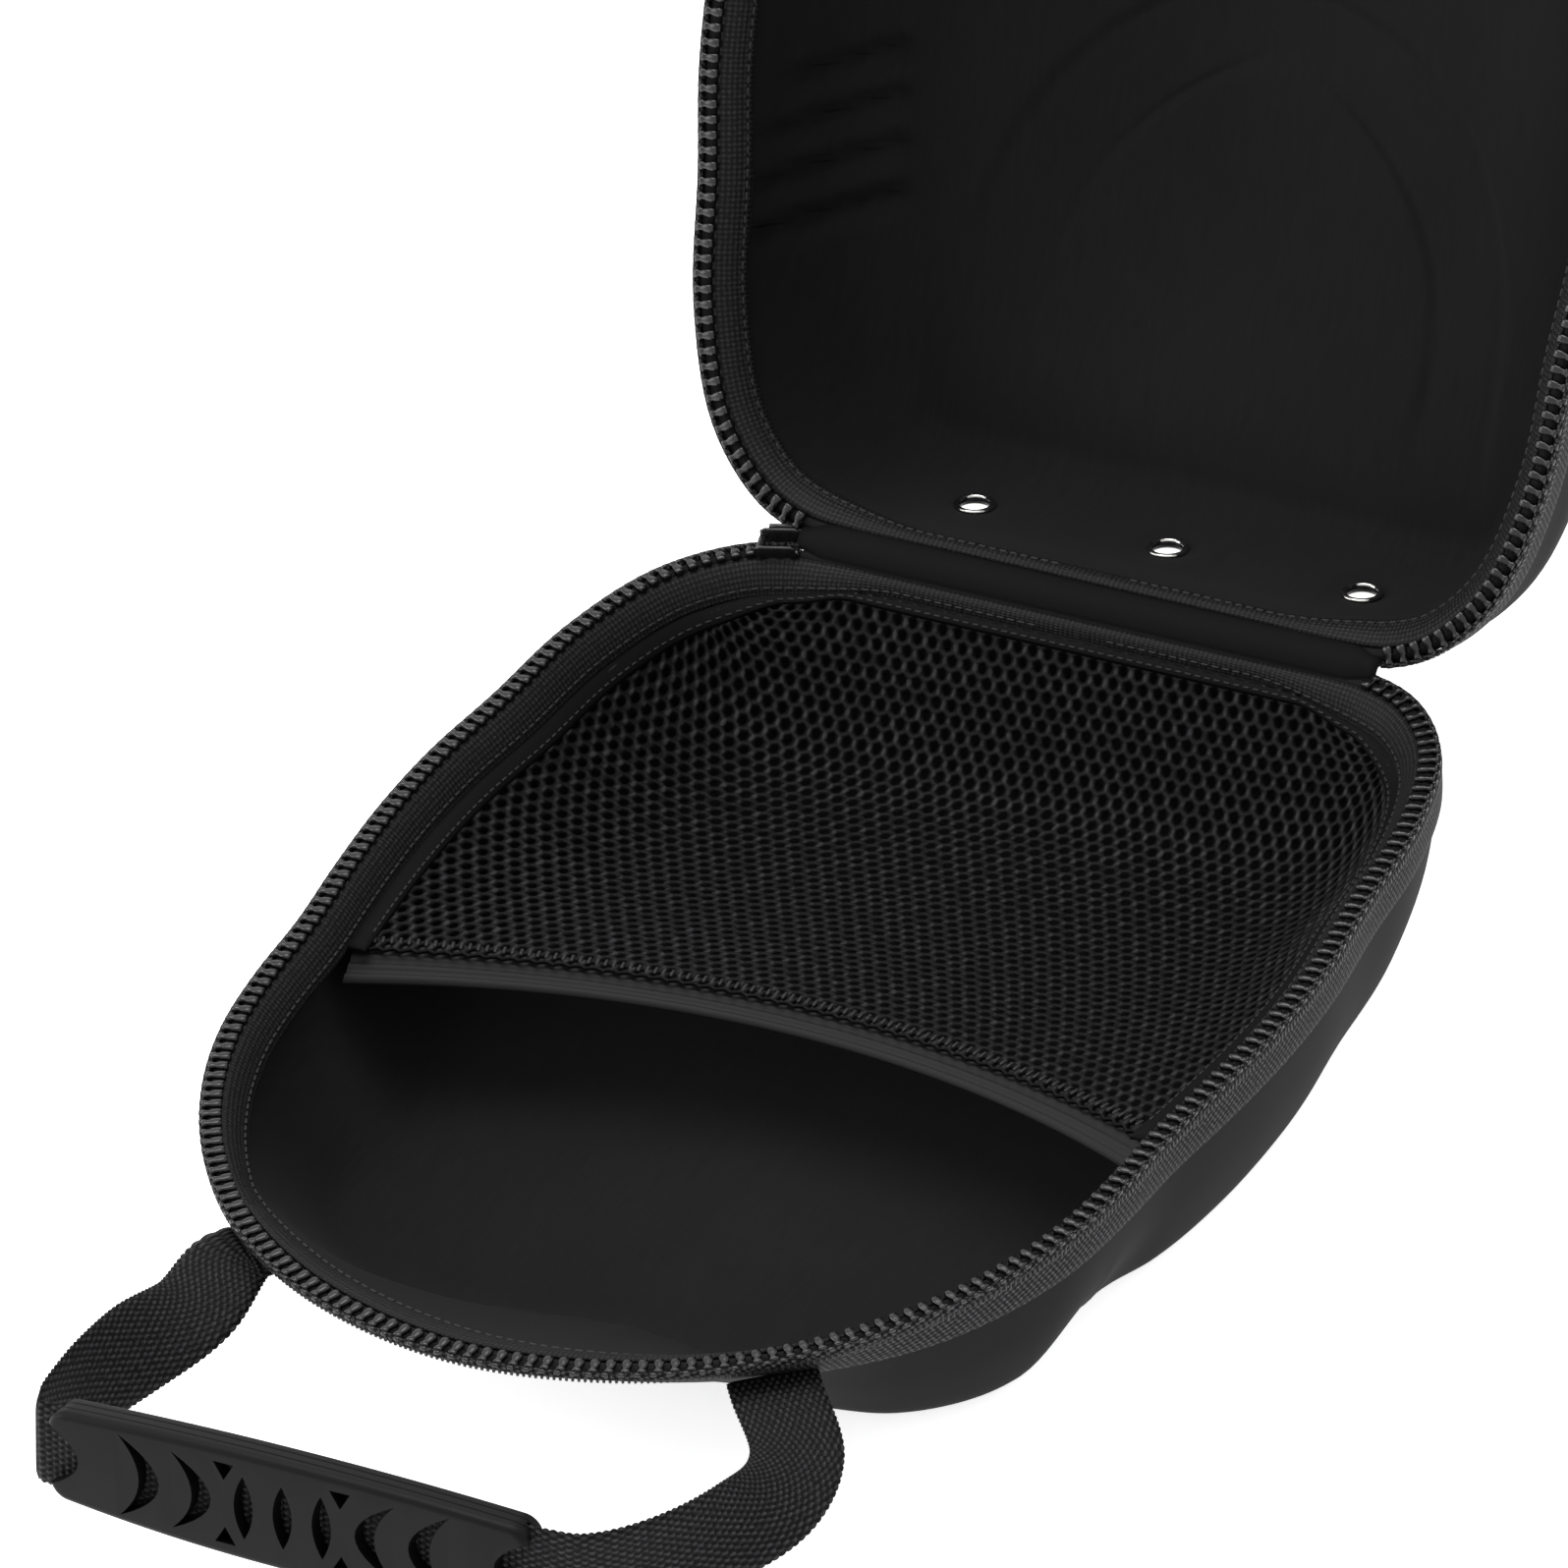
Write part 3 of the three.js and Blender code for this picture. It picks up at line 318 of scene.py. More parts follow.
class Rim:
    """Stations round the rim: place, level inward direction, share from the hinge and
    distance round, from the middle of the hinge over the right side."""

    def __init__(self, count):
        x = column(RIM_TABLE, "half") * HALF_WIDTH
        y = HINGE_Y - column(RIM_TABLE, "along") * RIM_LENGTH
        right = np.stack([x, y], 1)
        left = right[1:-1][::-1] * [-1, 1]
        path = curve_through(np.vstack([right, left]), 60, closed=True)
        loop = np.vstack([path, path[:1]])
        self.round = distances(loop)[-1]
        self.at = np.arange(count) * self.round / count
        p = evenly(loop, self.at)
        spread = int(round(RIM_FAIRING / (self.round / count)))
        weights = np.hanning(2 * spread + 3)[1:-1]
        weights /= weights.sum()
        self.p = sum(w * np.roll(p, k - spread, axis=0) for k, w in enumerate(weights))
        tangent = unit(np.roll(self.p, -1, axis=0) - np.roll(self.p, 1, axis=0))
        self.inward = np.stack([tangent[:, 1], -tangent[:, 0]], 1)
        self.share = (HINGE_Y - self.p[:, 1]) / RIM_LENGTH
        self.count = count

    def band(self, inward, depth, up):
        """Points at an inward distance and a depth for each station, as x, y, z."""
        xy = self.p + self.inward * np.broadcast_to(inward, self.count)[:, None]
        return np.column_stack([xy, up * np.broadcast_to(depth, self.count)])


RIM = Rim(STATIONS)
# 1 along the straight hinge end, 0 away from it
AT_HINGE = (1 - smooth_step(42, 76, np.abs(RIM.p[:, 0]))) * (RIM.share < 0.3)


class Shell:
    """The section of one moulded shell's wall at every station round the rim."""

    def __init__(self, body, place, wall, table, insets, depth, up):
        self.body, self.place, self.up = body, place, up
        faces_hinge = np.maximum(0, -RIM.inward[:, 1]) * (RIM.share < 0.5)
        sideways = insets["side"] + (insets["near"] - insets["side"]) * along(table, "pull", RIM.share)
        inset = sideways + (insets["hinge"] - sideways) * faces_hinge**2
        slant = along(table, "slant", RIM.share)
        high = depth * along(table, "height", RIM.share) - RIM_DROP
        across, down = column(wall, "inset")[:, None], column(wall, "depth")[:, None]
        self.outer = self.smooth(np.stack([
            (across * (1 - slant) + down * slant) * inset,
            RIM_DROP + down * high,
        ], -1))
        run = np.gradient(self.outer, axis=0)
        run[0] = [0, 1]
        run = unit(run)
        level = smooth_step(WALL_ROWS * 0.8, WALL_ROWS - 1, np.arange(WALL_ROWS))[:, None]
        self.inner = self.outer + WALL * unit(
            np.stack([run[:, :, 1] * (1 - level), -run[:, :, 0] * (1 - level) - level], -1))

    def smooth(self, rows):
        """The wall's few rows as many, on a curve through them."""
        ring = np.concatenate([2 * rows[:1] - rows[1:2], rows, 2 * rows[-1:] - rows[-2:-1]])
        place = np.linspace(0, len(rows) - 1 - 1e-9, WALL_ROWS)
        low = place.astype(int)
        t = (place - low)[:, None, None]
        p0, p1, p2, p3 = (ring[low + k] for k in range(4))
        return 0.5 * (2 * p1 + (p2 - p0) * t + (2 * p0 - 5 * p1 + 4 * p2 - p3) * t**2
                      + (3 * p1 - p0 - 3 * p2 + p3) * t**3)

    def across_at(self, face, depth):
        """How far in a face of the wall lies at a depth, for each station."""
        depth = np.broadcast_to(depth, RIM.count)
        return np.array([np.interp(depth[i], face[:, i, 1], face[:, i, 0]) for i in range(RIM.count)])

    def points(self, face):
        return np.stack([RIM.band(row[:, 0], row[:, 1], self.up) for row in face])


TRAY = Shell("tray", TRAY_PLACE, TRAY_WALL, TRAY_ALONG, TRAY_INSETS, TRAY_DEPTH, -1)
LID = Shell("lid", LID_PLACE, LID_WALL, LID_ALONG, LID_INSETS, LID_DEPTH, 1)


# Meshes

def grid_faces(rows, columns, closed_rows, closed_columns):
    """Quads over a grid of points, and each corner's row and column, not wrapped."""
    r = np.arange(rows if closed_rows else rows - 1)
    c = np.arange(columns if closed_columns else columns - 1)
    rr, cc = (a.ravel() for a in np.meshgrid(r, c, indexing="ij"))
    corners = np.stack([
        np.stack([rr, cc], 1), np.stack([rr, cc + 1], 1),
        np.stack([rr + 1, cc + 1], 1), np.stack([rr + 1, cc], 1),
    ], 1)
    index = (corners[:, :, 0] % rows) * columns + corners[:, :, 1] % columns
    return index, corners


def quad_volume(points, quads):
    a, b, c, d = (points[quads[:, k]] for k in range(4))
    return np.einsum("ij,ij->", a, np.cross(b, c)) + np.einsum("ij,ij->", a, np.cross(c, d))


def in_scene(name, data):
    obj = bpy.data.objects.new(name, data)
    bpy.context.scene.collection.objects.link(obj)
    return obj


def placed_in_metres(place):
    return Matrix.LocRotScale(place.translation * MM, place.to_quaternion(), None)


def make_piece(name, points, faces, materials, uv, slots=None, place=None):
    """A mesh object from points in millimetres. uv holds each corner's place in
    millimetres, face by face; slots the material number of each face."""
    mesh = bpy.data.meshes.new(name)
    mesh.from_pydata((np.asarray(points, float) * MM).tolist(), [], [list(map(int, f)) for f in faces])
    mesh.uv_layers.new(name="UVMap").data.foreach_set("uv", np.asarray(uv, np.float32).ravel())
    for material in materials:
        mesh.materials.append(material)
    if slots is not None:
        mesh.polygons.foreach_set("material_index", np.asarray(slots, np.int32))
    if place is not None:
        mesh.transform(placed_in_metres(place))
    mesh.polygons.foreach_set("use_smooth", [True] * len(mesh.polygons))
    mesh.update()
    return in_scene(name, mesh)


def loft(name, form, grid, materials, place=None, u=None, v=None, row_slots=None):
    """A closed skin over a grid of points. A rod is a stack of rings with end faces, a
    band is one section carried along with end faces, and a ring is closed both ways. u
    and v are the pattern's distances along columns and rows."""
    rows, columns = grid.shape[:2]
    points = grid.reshape(-1, 3)
    quads, corners = grid_faces(rows, columns, form != "rod", form != "band")
    across = np.arange(columns + 1.0) if u is None else np.asarray(u, float)
    down = np.arange(rows + 1.0) if v is None else np.asarray(v, float)
    uv = np.stack([across[corners[:, :, 1]], down[corners[:, :, 0]]], -1)
    slots = None if row_slots is None else np.asarray(row_slots)[corners[:, 0, 0]]
    index = np.arange(rows * columns).reshape(rows, columns)
    ends = {
        "rod": [index[0, ::-1], index[-1]],
        "band": [index[:, 0], index[::-1, -1]],
        "ring": [],
    }[form]
    if quad_volume(points - points.mean(0), quads) < 0:
        quads, uv = quads[:, ::-1], uv[:, ::-1]
        ends = [end[::-1] for end in ends]
    faces = [*quads.tolist(), *[end.tolist() for end in ends]]
    flat_uv = np.vstack([uv.reshape(-1, 2), *[np.zeros((len(end), 2)) for end in ends]])
    if slots is not None and ends:
        slots = np.append(slots, slots[[0, -1]])
    return make_piece(name, points, faces, materials, flat_uv, slots, place)


def finish_piece(obj, body, slot, *nodes):
    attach(obj, body)
    if nodes:
        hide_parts(*nodes)
    return obj


def remove(obj):
    mesh = obj.data
    bpy.data.objects.remove(obj)
    bpy.data.meshes.remove(mesh)


def plain_mesh(obj, name):
    """The evaluated object as a plain mesh object; the first one is removed."""
    graph = bpy.context.evaluated_depsgraph_get()
    mesh = bpy.data.meshes.new_from_object(obj.evaluated_get(graph))
    mesh.name = name
    made = in_scene(name, mesh)
    remove(obj)
    made.name = name
    return made


def cut_away(obj, name, cutters):
    """The object less the cutters, as a plain mesh."""
    for cutter in cutters:
        cut = obj.modifiers.new("cut", "BOOLEAN")
        cut.operation = "DIFFERENCE"
        cut.solver = "EXACT"
        cut.object = cutter
    obj = plain_mesh(obj, name)
    for cutter in cutters:
        remove(cutter)
    return obj


def prism(name, outline, low, high, material):
    """A straight-sided solid on a flat outline, between two heights."""
    grid = np.array([[(x, y, z) for x, y in outline] for z in (low, high)])
    return loft(name, "rod", grid, [material])


def turned_piece(name, profile, materials, place, row_slots=None):
    """A closed profile of radius and height turned round Y."""
    angles = np.arange(EYELET_SIDES) * math.tau / EYELET_SIDES
    grid = np.array([[(r * math.cos(a), h, r * math.sin(a)) for a in angles] for r, h in profile])
    return loft(name, "ring", grid, materials, place, row_slots=row_slots)


def rounded_bar(name, length, width, height, corner, finish):
    """A short bar along X with rounded long edges and slightly drawn-in ends."""
    ring = []
    for start, sx, sz in ((0, 1, 1), (90, -1, 1), (180, -1, -1), (270, 1, -1)):
        for k in (0, 45, 90):
            a = math.radians(start + k)
            ring.append((sx * (width / 2 - corner) + corner * math.cos(a),
                         sz * (height / 2 - corner) + corner * math.sin(a)))
    stations = ((-0.5, 0.72), (-0.38, 1), (0, 1), (0.38, 1), (0.5, 0.72))
    grid = np.array([[(x * length, y * s, z * s) for y, z in ring] for x, s in stations])
    return loft(name, "rod", grid, [finish])


# Shaders

def linear(code):
    """An sRGB hex colour as linear red, green, blue and alpha."""
    parts = [int(code[i:i + 2], 16) / 255 for i in (1, 3, 5)]
    return (*[c / 12.92 if c <= 0.04045 else ((c + 0.055) / 1.055) ** 2.4 for c in parts], 1)


def add(tree, kind, inputs=None, **settings):
    """Adds a node, with its settings and its inputs, each a value or a socket to link."""
    node = tree.nodes.new(kind)
    for name, value in settings.items():
        setattr(node, name, value)
    for name, value in (inputs or {}).items():
        if isinstance(value, bpy.types.NodeSocket):
            tree.links.new(value, node.inputs[name])
        else:
            node.inputs[name].default_value = value
    return node


def new_material(name, roughness, **sockets):
    material = bpy.data.materials.new(name)
    material.use_nodes = True
    tree = material.node_tree
    shader = tree.nodes["Principled BSDF"]
    shader.inputs["Roughness"].default_value = roughness
    for socket, value in sockets.items():
        shader.inputs[socket.replace("_", " ")].default_value = value
    return material, tree, shader


def mix_colour(tree, factor, low, high):
    """A colour between two sRGB colours."""
    return add(tree, "ShaderNodeMix", {0: factor, 6: linear(low), 7: linear(high)},
               data_type="RGBA").outputs[2]


def finish_material(tree, shader, colour, height=None, strength=0.0, distance=0.0, rough=None):
    """Links the colour, a height in millimetres as bump, and a roughness."""
    tree.links.new(colour, shader.inputs["Base Color"])
    if rough is not None:
        tree.links.new(rough, shader.inputs["Roughness"])
    if height is not None:
        bump = add(tree, "ShaderNodeBump", {
            "Height": height, "Strength": strength, "Distance": distance * MM})
        tree.links.new(bump.outputs["Normal"], shader.inputs["Normal"])


def scaled(tree, size, output="Object", slant=0):
    """Coordinates in units of a real size, in millimetres for each axis. Object
    coordinates are metres and a piece's own UV map is in millimetres."""
    coordinates = add(tree, "ShaderNodeTexCoord").outputs[output]
    unit_size = MM if output == "Object" else 1
    turned = add(tree, "ShaderNodeMapping", {
        "Vector": coordinates, "Rotation": (0, 0, math.radians(slant))})
    factors = [1 / (length * unit_size) for length in size]
    return add(tree, "ShaderNodeMapping", {
        "Vector": turned.outputs["Vector"], "Scale": factors}).outputs["Vector"]


def laminated(name, low, high, roughness, sheen, specular, grain, fineness, mottle, bump):
    """A knit laminated on moulded foam: fine grain or streaks and a broad mottle."""
    material, tree, shader = new_material(
        name, roughness, Sheen_Weight=sheen[0], Sheen_Roughness=sheen[1], Specular_IOR_Level=specular)
    fine = add(tree, "ShaderNodeTexNoise", {
        "Vector": scaled(tree, grain), "Scale": 1, "Detail": 3, "Roughness": fineness})
    broad = add(tree, "ShaderNodeTexNoise", {
        "Vector": scaled(tree, (mottle,) * 3), "Scale": 1, "Detail": 2, "Roughness": 0.5})
    both = add(tree, "ShaderNodeMath", {
        0: fine.outputs["Fac"], 1: broad.outputs["Fac"]}, operation="ADD")
    tone = add(tree, "ShaderNodeMapRange", {0: both.outputs[0], 1: 0.7, 2: 1.3, 3: 0, 4: 1})
    finish_material(tree, shader, mix_colour(tree, tone.outputs[0], low, high),
                    fine.outputs["Fac"], *bump)
    return material


def woven(name, low, high, roughness, thread, depth, slant=0.0, sheen=0.2, specular=0.3,
          light_from=0.18):
    """A woven cloth on the piece's own UV map, whose units are millimetres: two sets of
    threads that cross, with a slant for twill and herringbone. The colour follows the bump:
    painted highlights where they cross, painted shade between. A higher light_from leaves
    smaller painted highlights where they cross."""
    material, tree, shader = new_material(
        name, roughness, Sheen_Weight=sheen, Sheen_Roughness=0.4, Specular_IOR_Level=specular)
    turned = scaled(tree, (*thread, thread[0]), "UV", slant)
    parts = add(tree, "ShaderNodeSeparateXYZ", {"Vector": turned})
    heights = []
    for axis in ("X", "Y"):
        angle = add(tree, "ShaderNodeMath", {0: parts.outputs[axis], 1: math.tau}, operation="MULTIPLY")
        sine = add(tree, "ShaderNodeMath", {0: angle.outputs[0]}, operation="SINE")
        heights.append(sine.outputs[0])
    product = add(tree, "ShaderNodeMath", {0: heights[0], 1: heights[1]}, operation="MULTIPLY")
    tone = add(tree, "ShaderNodeMapRange", {0: product.outputs[0], 1: -1, 2: 1, 3: 0, 4: 1})
    fuzz = add(tree, "ShaderNodeTexNoise", {"Vector": turned, "Scale": 2.1, "Detail": 2})
    both = add(tree, "ShaderNodeMath", {0: tone.outputs[0], 1: fuzz.outputs["Fac"]}, operation="MULTIPLY")
    shade = add(tree, "ShaderNodeMapRange", {0: both.outputs[0], 1: light_from, 2: 0.58, 3: 0, 4: 1})
    finish_material(tree, shader, mix_colour(tree, shade.outputs[0], low, high),
                    both.outputs[0], 0.6, depth)
    return material


def moulded(name, low, high, roughness, grain, specular=0.5):
    """A moulded plastic or rubber: even colour with a slight cloud, and a fine mould
    grain that breaks up its highlights."""
    material, tree, shader = new_material(name, roughness, Specular_IOR_Level=specular)
    cloud, mould = (
        add(tree, "ShaderNodeTexNoise", {"Vector": scaled(tree, (size,) * 3), "Scale": 1, "Detail": 2})
        for size in (6, grain))
    rough = add(tree, "ShaderNodeMapRange", {
        0: mould.outputs["Fac"], 1: 0.3, 2: 0.7, 3: roughness - 0.06, 4: roughness + 0.06})
    finish_material(tree, shader, mix_colour(tree, cloud.outputs["Fac"], low, high),
                    mould.outputs["Fac"], 0.12, 0.05, rough.outputs[0])
    return material


def nickel_plate(name, low, high, rough_low, rough_high):
    """Brass eyelets with nickel plate: a faint turning grain and tiny scuffs."""
    material, tree, shader = new_material(name, rough_low, Metallic=1.0)
    scuffs = add(tree, "ShaderNodeTexNoise", {
        "Vector": scaled(tree, (0.5, 0.5, 0.5)), "Scale": 1, "Detail": 4})
    rough = add(tree, "ShaderNodeMapRange", {
        0: scuffs.outputs["Fac"], 1: 0.4, 2: 0.8, 3: rough_low, 4: rough_high})
    finish_material(tree, shader, mix_colour(tree, scuffs.outputs["Fac"], low, high), rough=rough.outputs[0])
    return material


# Brushed tricot: a flat near-black cloth with faint streaks along the knit and a soft
# bloom where it turns away. Knit wales are 0.5 mm apart; drawn at 0.9 mm so that they show.
LINING = laminated(
    "brushed_tricot_lining", "#121213", "#171718", 0.9, (0.02, 0.5), 0.10,
    grain=(0.9, 9, 9), fineness=0.6, mottle=60, bump=(0.12, 0.15))
# Tight polyester knit, hot-moulded: smooth, with a fine grain and a low, broad sheen
SHELL_FABRIC = laminated(
    "moulded_polyester_shell", "#0a0a0b", "#101011", 0.7, (0.01, 0.45), 0.06,
    grain=(0.8, 0.8, 0.8), fineness=0.65, mottle=40, bump=(0.15, 0.1))
# Satin herringbone ribbon: bands of slanted threads with a silky shine, mostly painted highlight where the
# threads cross, drawn coarser
BINDING = woven(
    "herringbone_seam_binding", "#060607", "#29292a", 0.55, (1.7, 1.7), 0.3, slant=45, sheen=0.01,
    specular=0.14)
# Woven zipper tape: fine painted highlight flecks where the yarns cross, drawn coarser than the yarn
TAPE = woven(
    "woven_zipper_tape", "#060607", "#48484a", 0.7, (2.0, 1.6), 0.3, slant=20, sheen=0.0, specular=0.1)
# Acetal teeth: smooth from the mould, with small sharp highlights on every edge
TEETH = moulded("moulded_acetal_teeth", "#080809", "#0e0e0f", 0.26, 0.5, specular=0.5)
# Knitted net: painted highlights on the thread loops between the holes of each row
MESH = woven(
    "knitted_spacer_mesh", "#0d0d0e", "#2c2c2e", 0.6, (HOLE_PITCH, 2 * HOLE_ROW), 0.3, sheen=0.0,
    specular=0.1, light_from=0.36)
# Woven elastic: dull covered rubber, a shade lighter than the net it edges
ELASTIC = woven(
    "ribbed_woven_elastic", "#111112", "#222223", 0.6, (0.6, 0.6), 0.06, sheen=0.0, specular=0.2)
# Heavy webbing: each rib has a painted highlight on its crown and painted shade in the valley beside it
WEBBING = woven(
    "rib_woven_webbing", "#030304", "#343436", 0.6, (RIB_PITCH * 2, 1.5), 0.4, sheen=0.0, specular=0.1)
# Bonded thread: a slight wax gloss makes each stitch stand out from the cloth
THREAD = woven(
    "bonded_sewing_thread", "#121213", "#2a2a2b", 0.5, (0.3, 0.3), 0.03, slant=30, sheen=0.04)
# Hinge cloth: the flattest and darkest cloth here, with hardly any weave to see
HINGE_CLOTH = woven(
    "woven_hinge_cloth", "#040405", "#111112", 0.7, (0.6, 0.6), 0.08, sheen=0.0, specular=0.09)
# Satin rubber: deep black, with one soft broad highlight along its edges
GRIP = moulded("moulded_satin_rubber", "#060607", "#0a0a0b", 0.45, 0.35, specular=0.12)
# Polished nickel: mirror bright, with the room's white in it
NICKEL = nickel_plate("polished_nickel_plate", "#a8a6a3", "#d2d0cd", 0.1, 0.28)
# Inside the barrel the nickel is duller, and painted dark as shade so that it reads dark round the hole
BARREL = nickel_plate("dull_nickel_painted_shade_barrel", "#1c1c1d", "#2e2e2f", 0.35, 0.5)
# Black enamel on cast zinc: glossy, with its highlights a little uneven
ENAMEL = moulded("black_enamelled_zinc", "#0c0c0d", "#121213", 0.3, 0.8, specular=0.5)


# Repeated pieces, set along a path by Geometry Nodes

def repeat_group():
    """Sets a part along a path at a pitch, with its length on the path and its top up."""
    group = bpy.data.node_groups.new("set_along_path", "GeometryNodeTree")
    sockets = {"Path": "Geometry", "Part": "Object", "Pitch": "Float", "Finish": "Material"}
    for name, kind in sockets.items():
        group.interface.new_socket(name, in_out="INPUT", socket_type="NodeSocket" + kind)
    group.interface.new_socket("Pieces", in_out="OUTPUT", socket_type="NodeSocketGeometry")
    given = group.nodes.new("NodeGroupInput").outputs
    curve = add(group, "GeometryNodeMeshToCurve", {"Mesh": given["Path"]})
    spaced = add(group, "GeometryNodeResampleCurve", {
        "Curve": curve.outputs[0], "Length": given["Pitch"]}, mode="LENGTH")
    tangent = add(group, "GeometryNodeInputTangent")
    turn = add(group, "FunctionNodeAlignRotationToVector", {"Vector": tangent.outputs[0]},
               axis="X", pivot_axis="Z")
    part = add(group, "GeometryNodeObjectInfo", {"Object": given["Part"]})
    placed = add(group, "GeometryNodeInstanceOnPoints", {
        "Points": spaced.outputs[0], "Instance": part.outputs["Geometry"],
        "Rotation": turn.outputs[0]})
    real = add(group, "GeometryNodeRealizeInstances", {"Geometry": placed.outputs[0]})
    finish = add(group, "GeometryNodeSetMaterial", {
        "Geometry": real.outputs[0], "Material": given["Finish"]})
    out = group.nodes.new("NodeGroupOutput")
    group.links.new(finish.outputs[0], out.inputs["Pieces"])
    return group


REPEAT = repeat_group()


def set_along(name, path, part, pitch, finish, place):
    """The part repeated along an open path, as one plain mesh."""
    mesh = bpy.data.meshes.new(name)
    mesh.from_pydata((path * MM).tolist(), [(i, i + 1) for i in range(len(path) - 1)], [])
    obj = in_scene(name, mesh)
    modifier = obj.modifiers.new("set_along_path", "NODES")
    modifier.node_group = REPEAT
    values = {"Part": part, "Pitch": pitch * MM, "Finish": finish}
    for item in REPEAT.interface.items_tree:
        if item.in_out == "INPUT" and item.name in values:
            modifier[item.identifier] = values[item.name]
    made = plain_mesh(obj, name)
    made.data.transform(placed_in_metres(place))
    remove(part)
    return made


def row_of_bars(name, path, sizes, pitch, finish, shell, slot):
    """Small bars set along a path: stitches, loops of cord or caps."""
    bar = rounded_bar(name + "_bar", *sizes, finish)
    finish_piece(set_along(name, path, bar, pitch, finish, shell.place), shell.body, slot)


# The two shells

def shell_grid(shell, floor_in, floor_out, floor):
    """Rows of points over a whole shell: lining floor, lining wall, lip, outer wall and
    outer floor, and how many of them are lining. floor gives a floor ring's points from
    its foot ring and a share."""
    inner, outer = shell.points(shell.inner), shell.points(shell.outer)
    lip_mid = (shell.inner[0] + shell.outer[0]) / 2
    half = (shell.inner[0] - shell.outer[0]) / 2
    lip = []
    for degrees in (30, 60, 90, 120, 150):
        a = math.radians(degrees)
        q = lip_mid + half * math.cos(a) - np.array([0, LIP_ROUND]) * math.sin(a)
        lip.append(RIM.band(q[:, 0], q[:, 1], shell.up))
    lining = [floor(inner[-1], share, WALL) for share in np.linspace(0.985, 0, floor_in)[:-1]]
    under = [floor(outer[-1], share, 0) for share in np.linspace(0, 0.985, floor_out)[1:]]
    return np.stack([*lining, *inner[::-1], *lip, *outer, *under]), len(lining) + WALL_ROWS + 2


def tray_floor(foot, share, below=0):
    """The foot ring drawn in level towards the middle of the floor."""
    middle = (foot[0, 1] + foot[RIM.count // 2, 1]) / 2
    ring = foot.copy()
    ring[:, 0] *= 1 - share
    ring[:, 1] = middle + (foot[:, 1] - middle) * (1 - share)
    return ring


def lid_floor(foot, share, below):
    """The lid's floor ring: from the foot of its wall up on to the crowned top."""
    ring = tray_floor(foot, share)
    x, s = ring[:, 0], HINGE_Y - ring[:, 1]
    edge = LID_DEPTH * along(LID_ALONG, "height", s / RIM_LENGTH)
    cross = np.maximum(0, 1 - (x / (HALF_WIDTH - LID_INSETS["side"])) ** 2)
    length = np.sin(np.pi * np.clip(s / (RIM_LENGTH - LID_INSETS["near"]), 0, 1))
    top = edge + LID_CROWN * cross * length - below
    ring[:, 2] += (top - foot[:, 2]) * smooth_step(0, 0.42, share)
    return ring


def arch_distance(x, s, arch):
    """How far inside an arch a point of the lid lies: straight sides, then a dome, which
    is round where blunt is 2 and pointed where it is near 1."""
    over = np.maximum(0, s - arch["spring"]) / (arch["apex"] - arch["spring"])
    beside = (np.abs(x) / arch["half"]) ** arch["blunt"]
    return arch["half"] * (1 - (beside + over**2) ** (1 / arch["blunt"]))


def lid_relief(x, s):
    """How far the lining is pressed outwards: two arches on the crown and a fan of
    louvre-like vent bands at each side."""
    depth = np.zeros_like(x)
    for arch in ARCHES:
        d = arch_distance(x, s, arch)
        depth += arch["step"] * smooth_step(-ARCH_SLOPE, ARCH_SLOPE, d)
        depth += ARCH_LIP * np.exp(-((d / ARCH_LIP_WIDTH) ** 2))
    depth *= smooth_step(22, 52, s)
    out = np.abs(x)
    place = (s - VENT_FOOT - VENT_SLANT * (VENT_END - out)) / VENT_PITCH
    band = np.clip(place - np.floor(place), 0, 1)
    inside = (place > 0) & (place < VENT_COUNT)
    ends = smooth_step(79, 84, out - 0.12 * (s - 56)) * (1 - smooth_step(101, 106, out))
    louvre = smooth_step(0, 0.62, band) * (1 - smooth_step(0.62, 0.86, band))
    return depth + VENT_RELIEF * louvre * ends * inside


def tray_crease(x, y):
    """The fold that the outer wall shows at each side, where the waist begins."""
    line = y + 38 + 0.35 * (np.abs(x) - 100)
    return 0.35 * np.exp(-((line / 2.6) ** 2)) - 0.5 * np.exp(-(((line - 12) / 9) ** 2))


def grid_normals(grid):
    """Unit normals of a grid that is closed along its columns."""
    down = np.gradient(grid, axis=0)
    round_ = np.roll(grid, -1, axis=1) - np.roll(grid, 1, axis=1)
    return unit(np.cross(down, round_))


def shell_skin(name, grid, lining_rows, place=None):
    """The shell's closed skin, lining inside and shell fabric outside."""
    slots = [0] * lining_rows + [1] * (len(grid) - lining_rows)
    return loft(name, "rod", grid, [LINING, SHELL_FABRIC], place, row_slots=slots)


def make_tray_shell():
    grid, lining_rows = shell_grid(TRAY, TRAY_FLOOR_RINGS, TRAY_FLOOR_RINGS, tray_floor)
    outward = grid_normals(grid)
    wall = slice(lining_rows + 3, lining_rows + 3 + WALL_ROWS)
    if (outward[wall, 0, 1] < 0).mean() > 0.5:
        outward = -outward
    down = np.linspace(0, 1, WALL_ROWS)
    rows = np.zeros(len(grid))
    rows[wall] = smooth_step(0.28, 0.5, down) * (1 - smooth_step(0.9, 1, down))
    crease = tray_crease(grid[:, :, 0], grid[:, :, 1]) * rows[:, None]
    shell = shell_skin("tray_shell_cloth", grid + outward * crease[..., None], lining_rows, TRAY_PLACE)
    finish_piece(shell, "tray", "shell", "tray_shell")


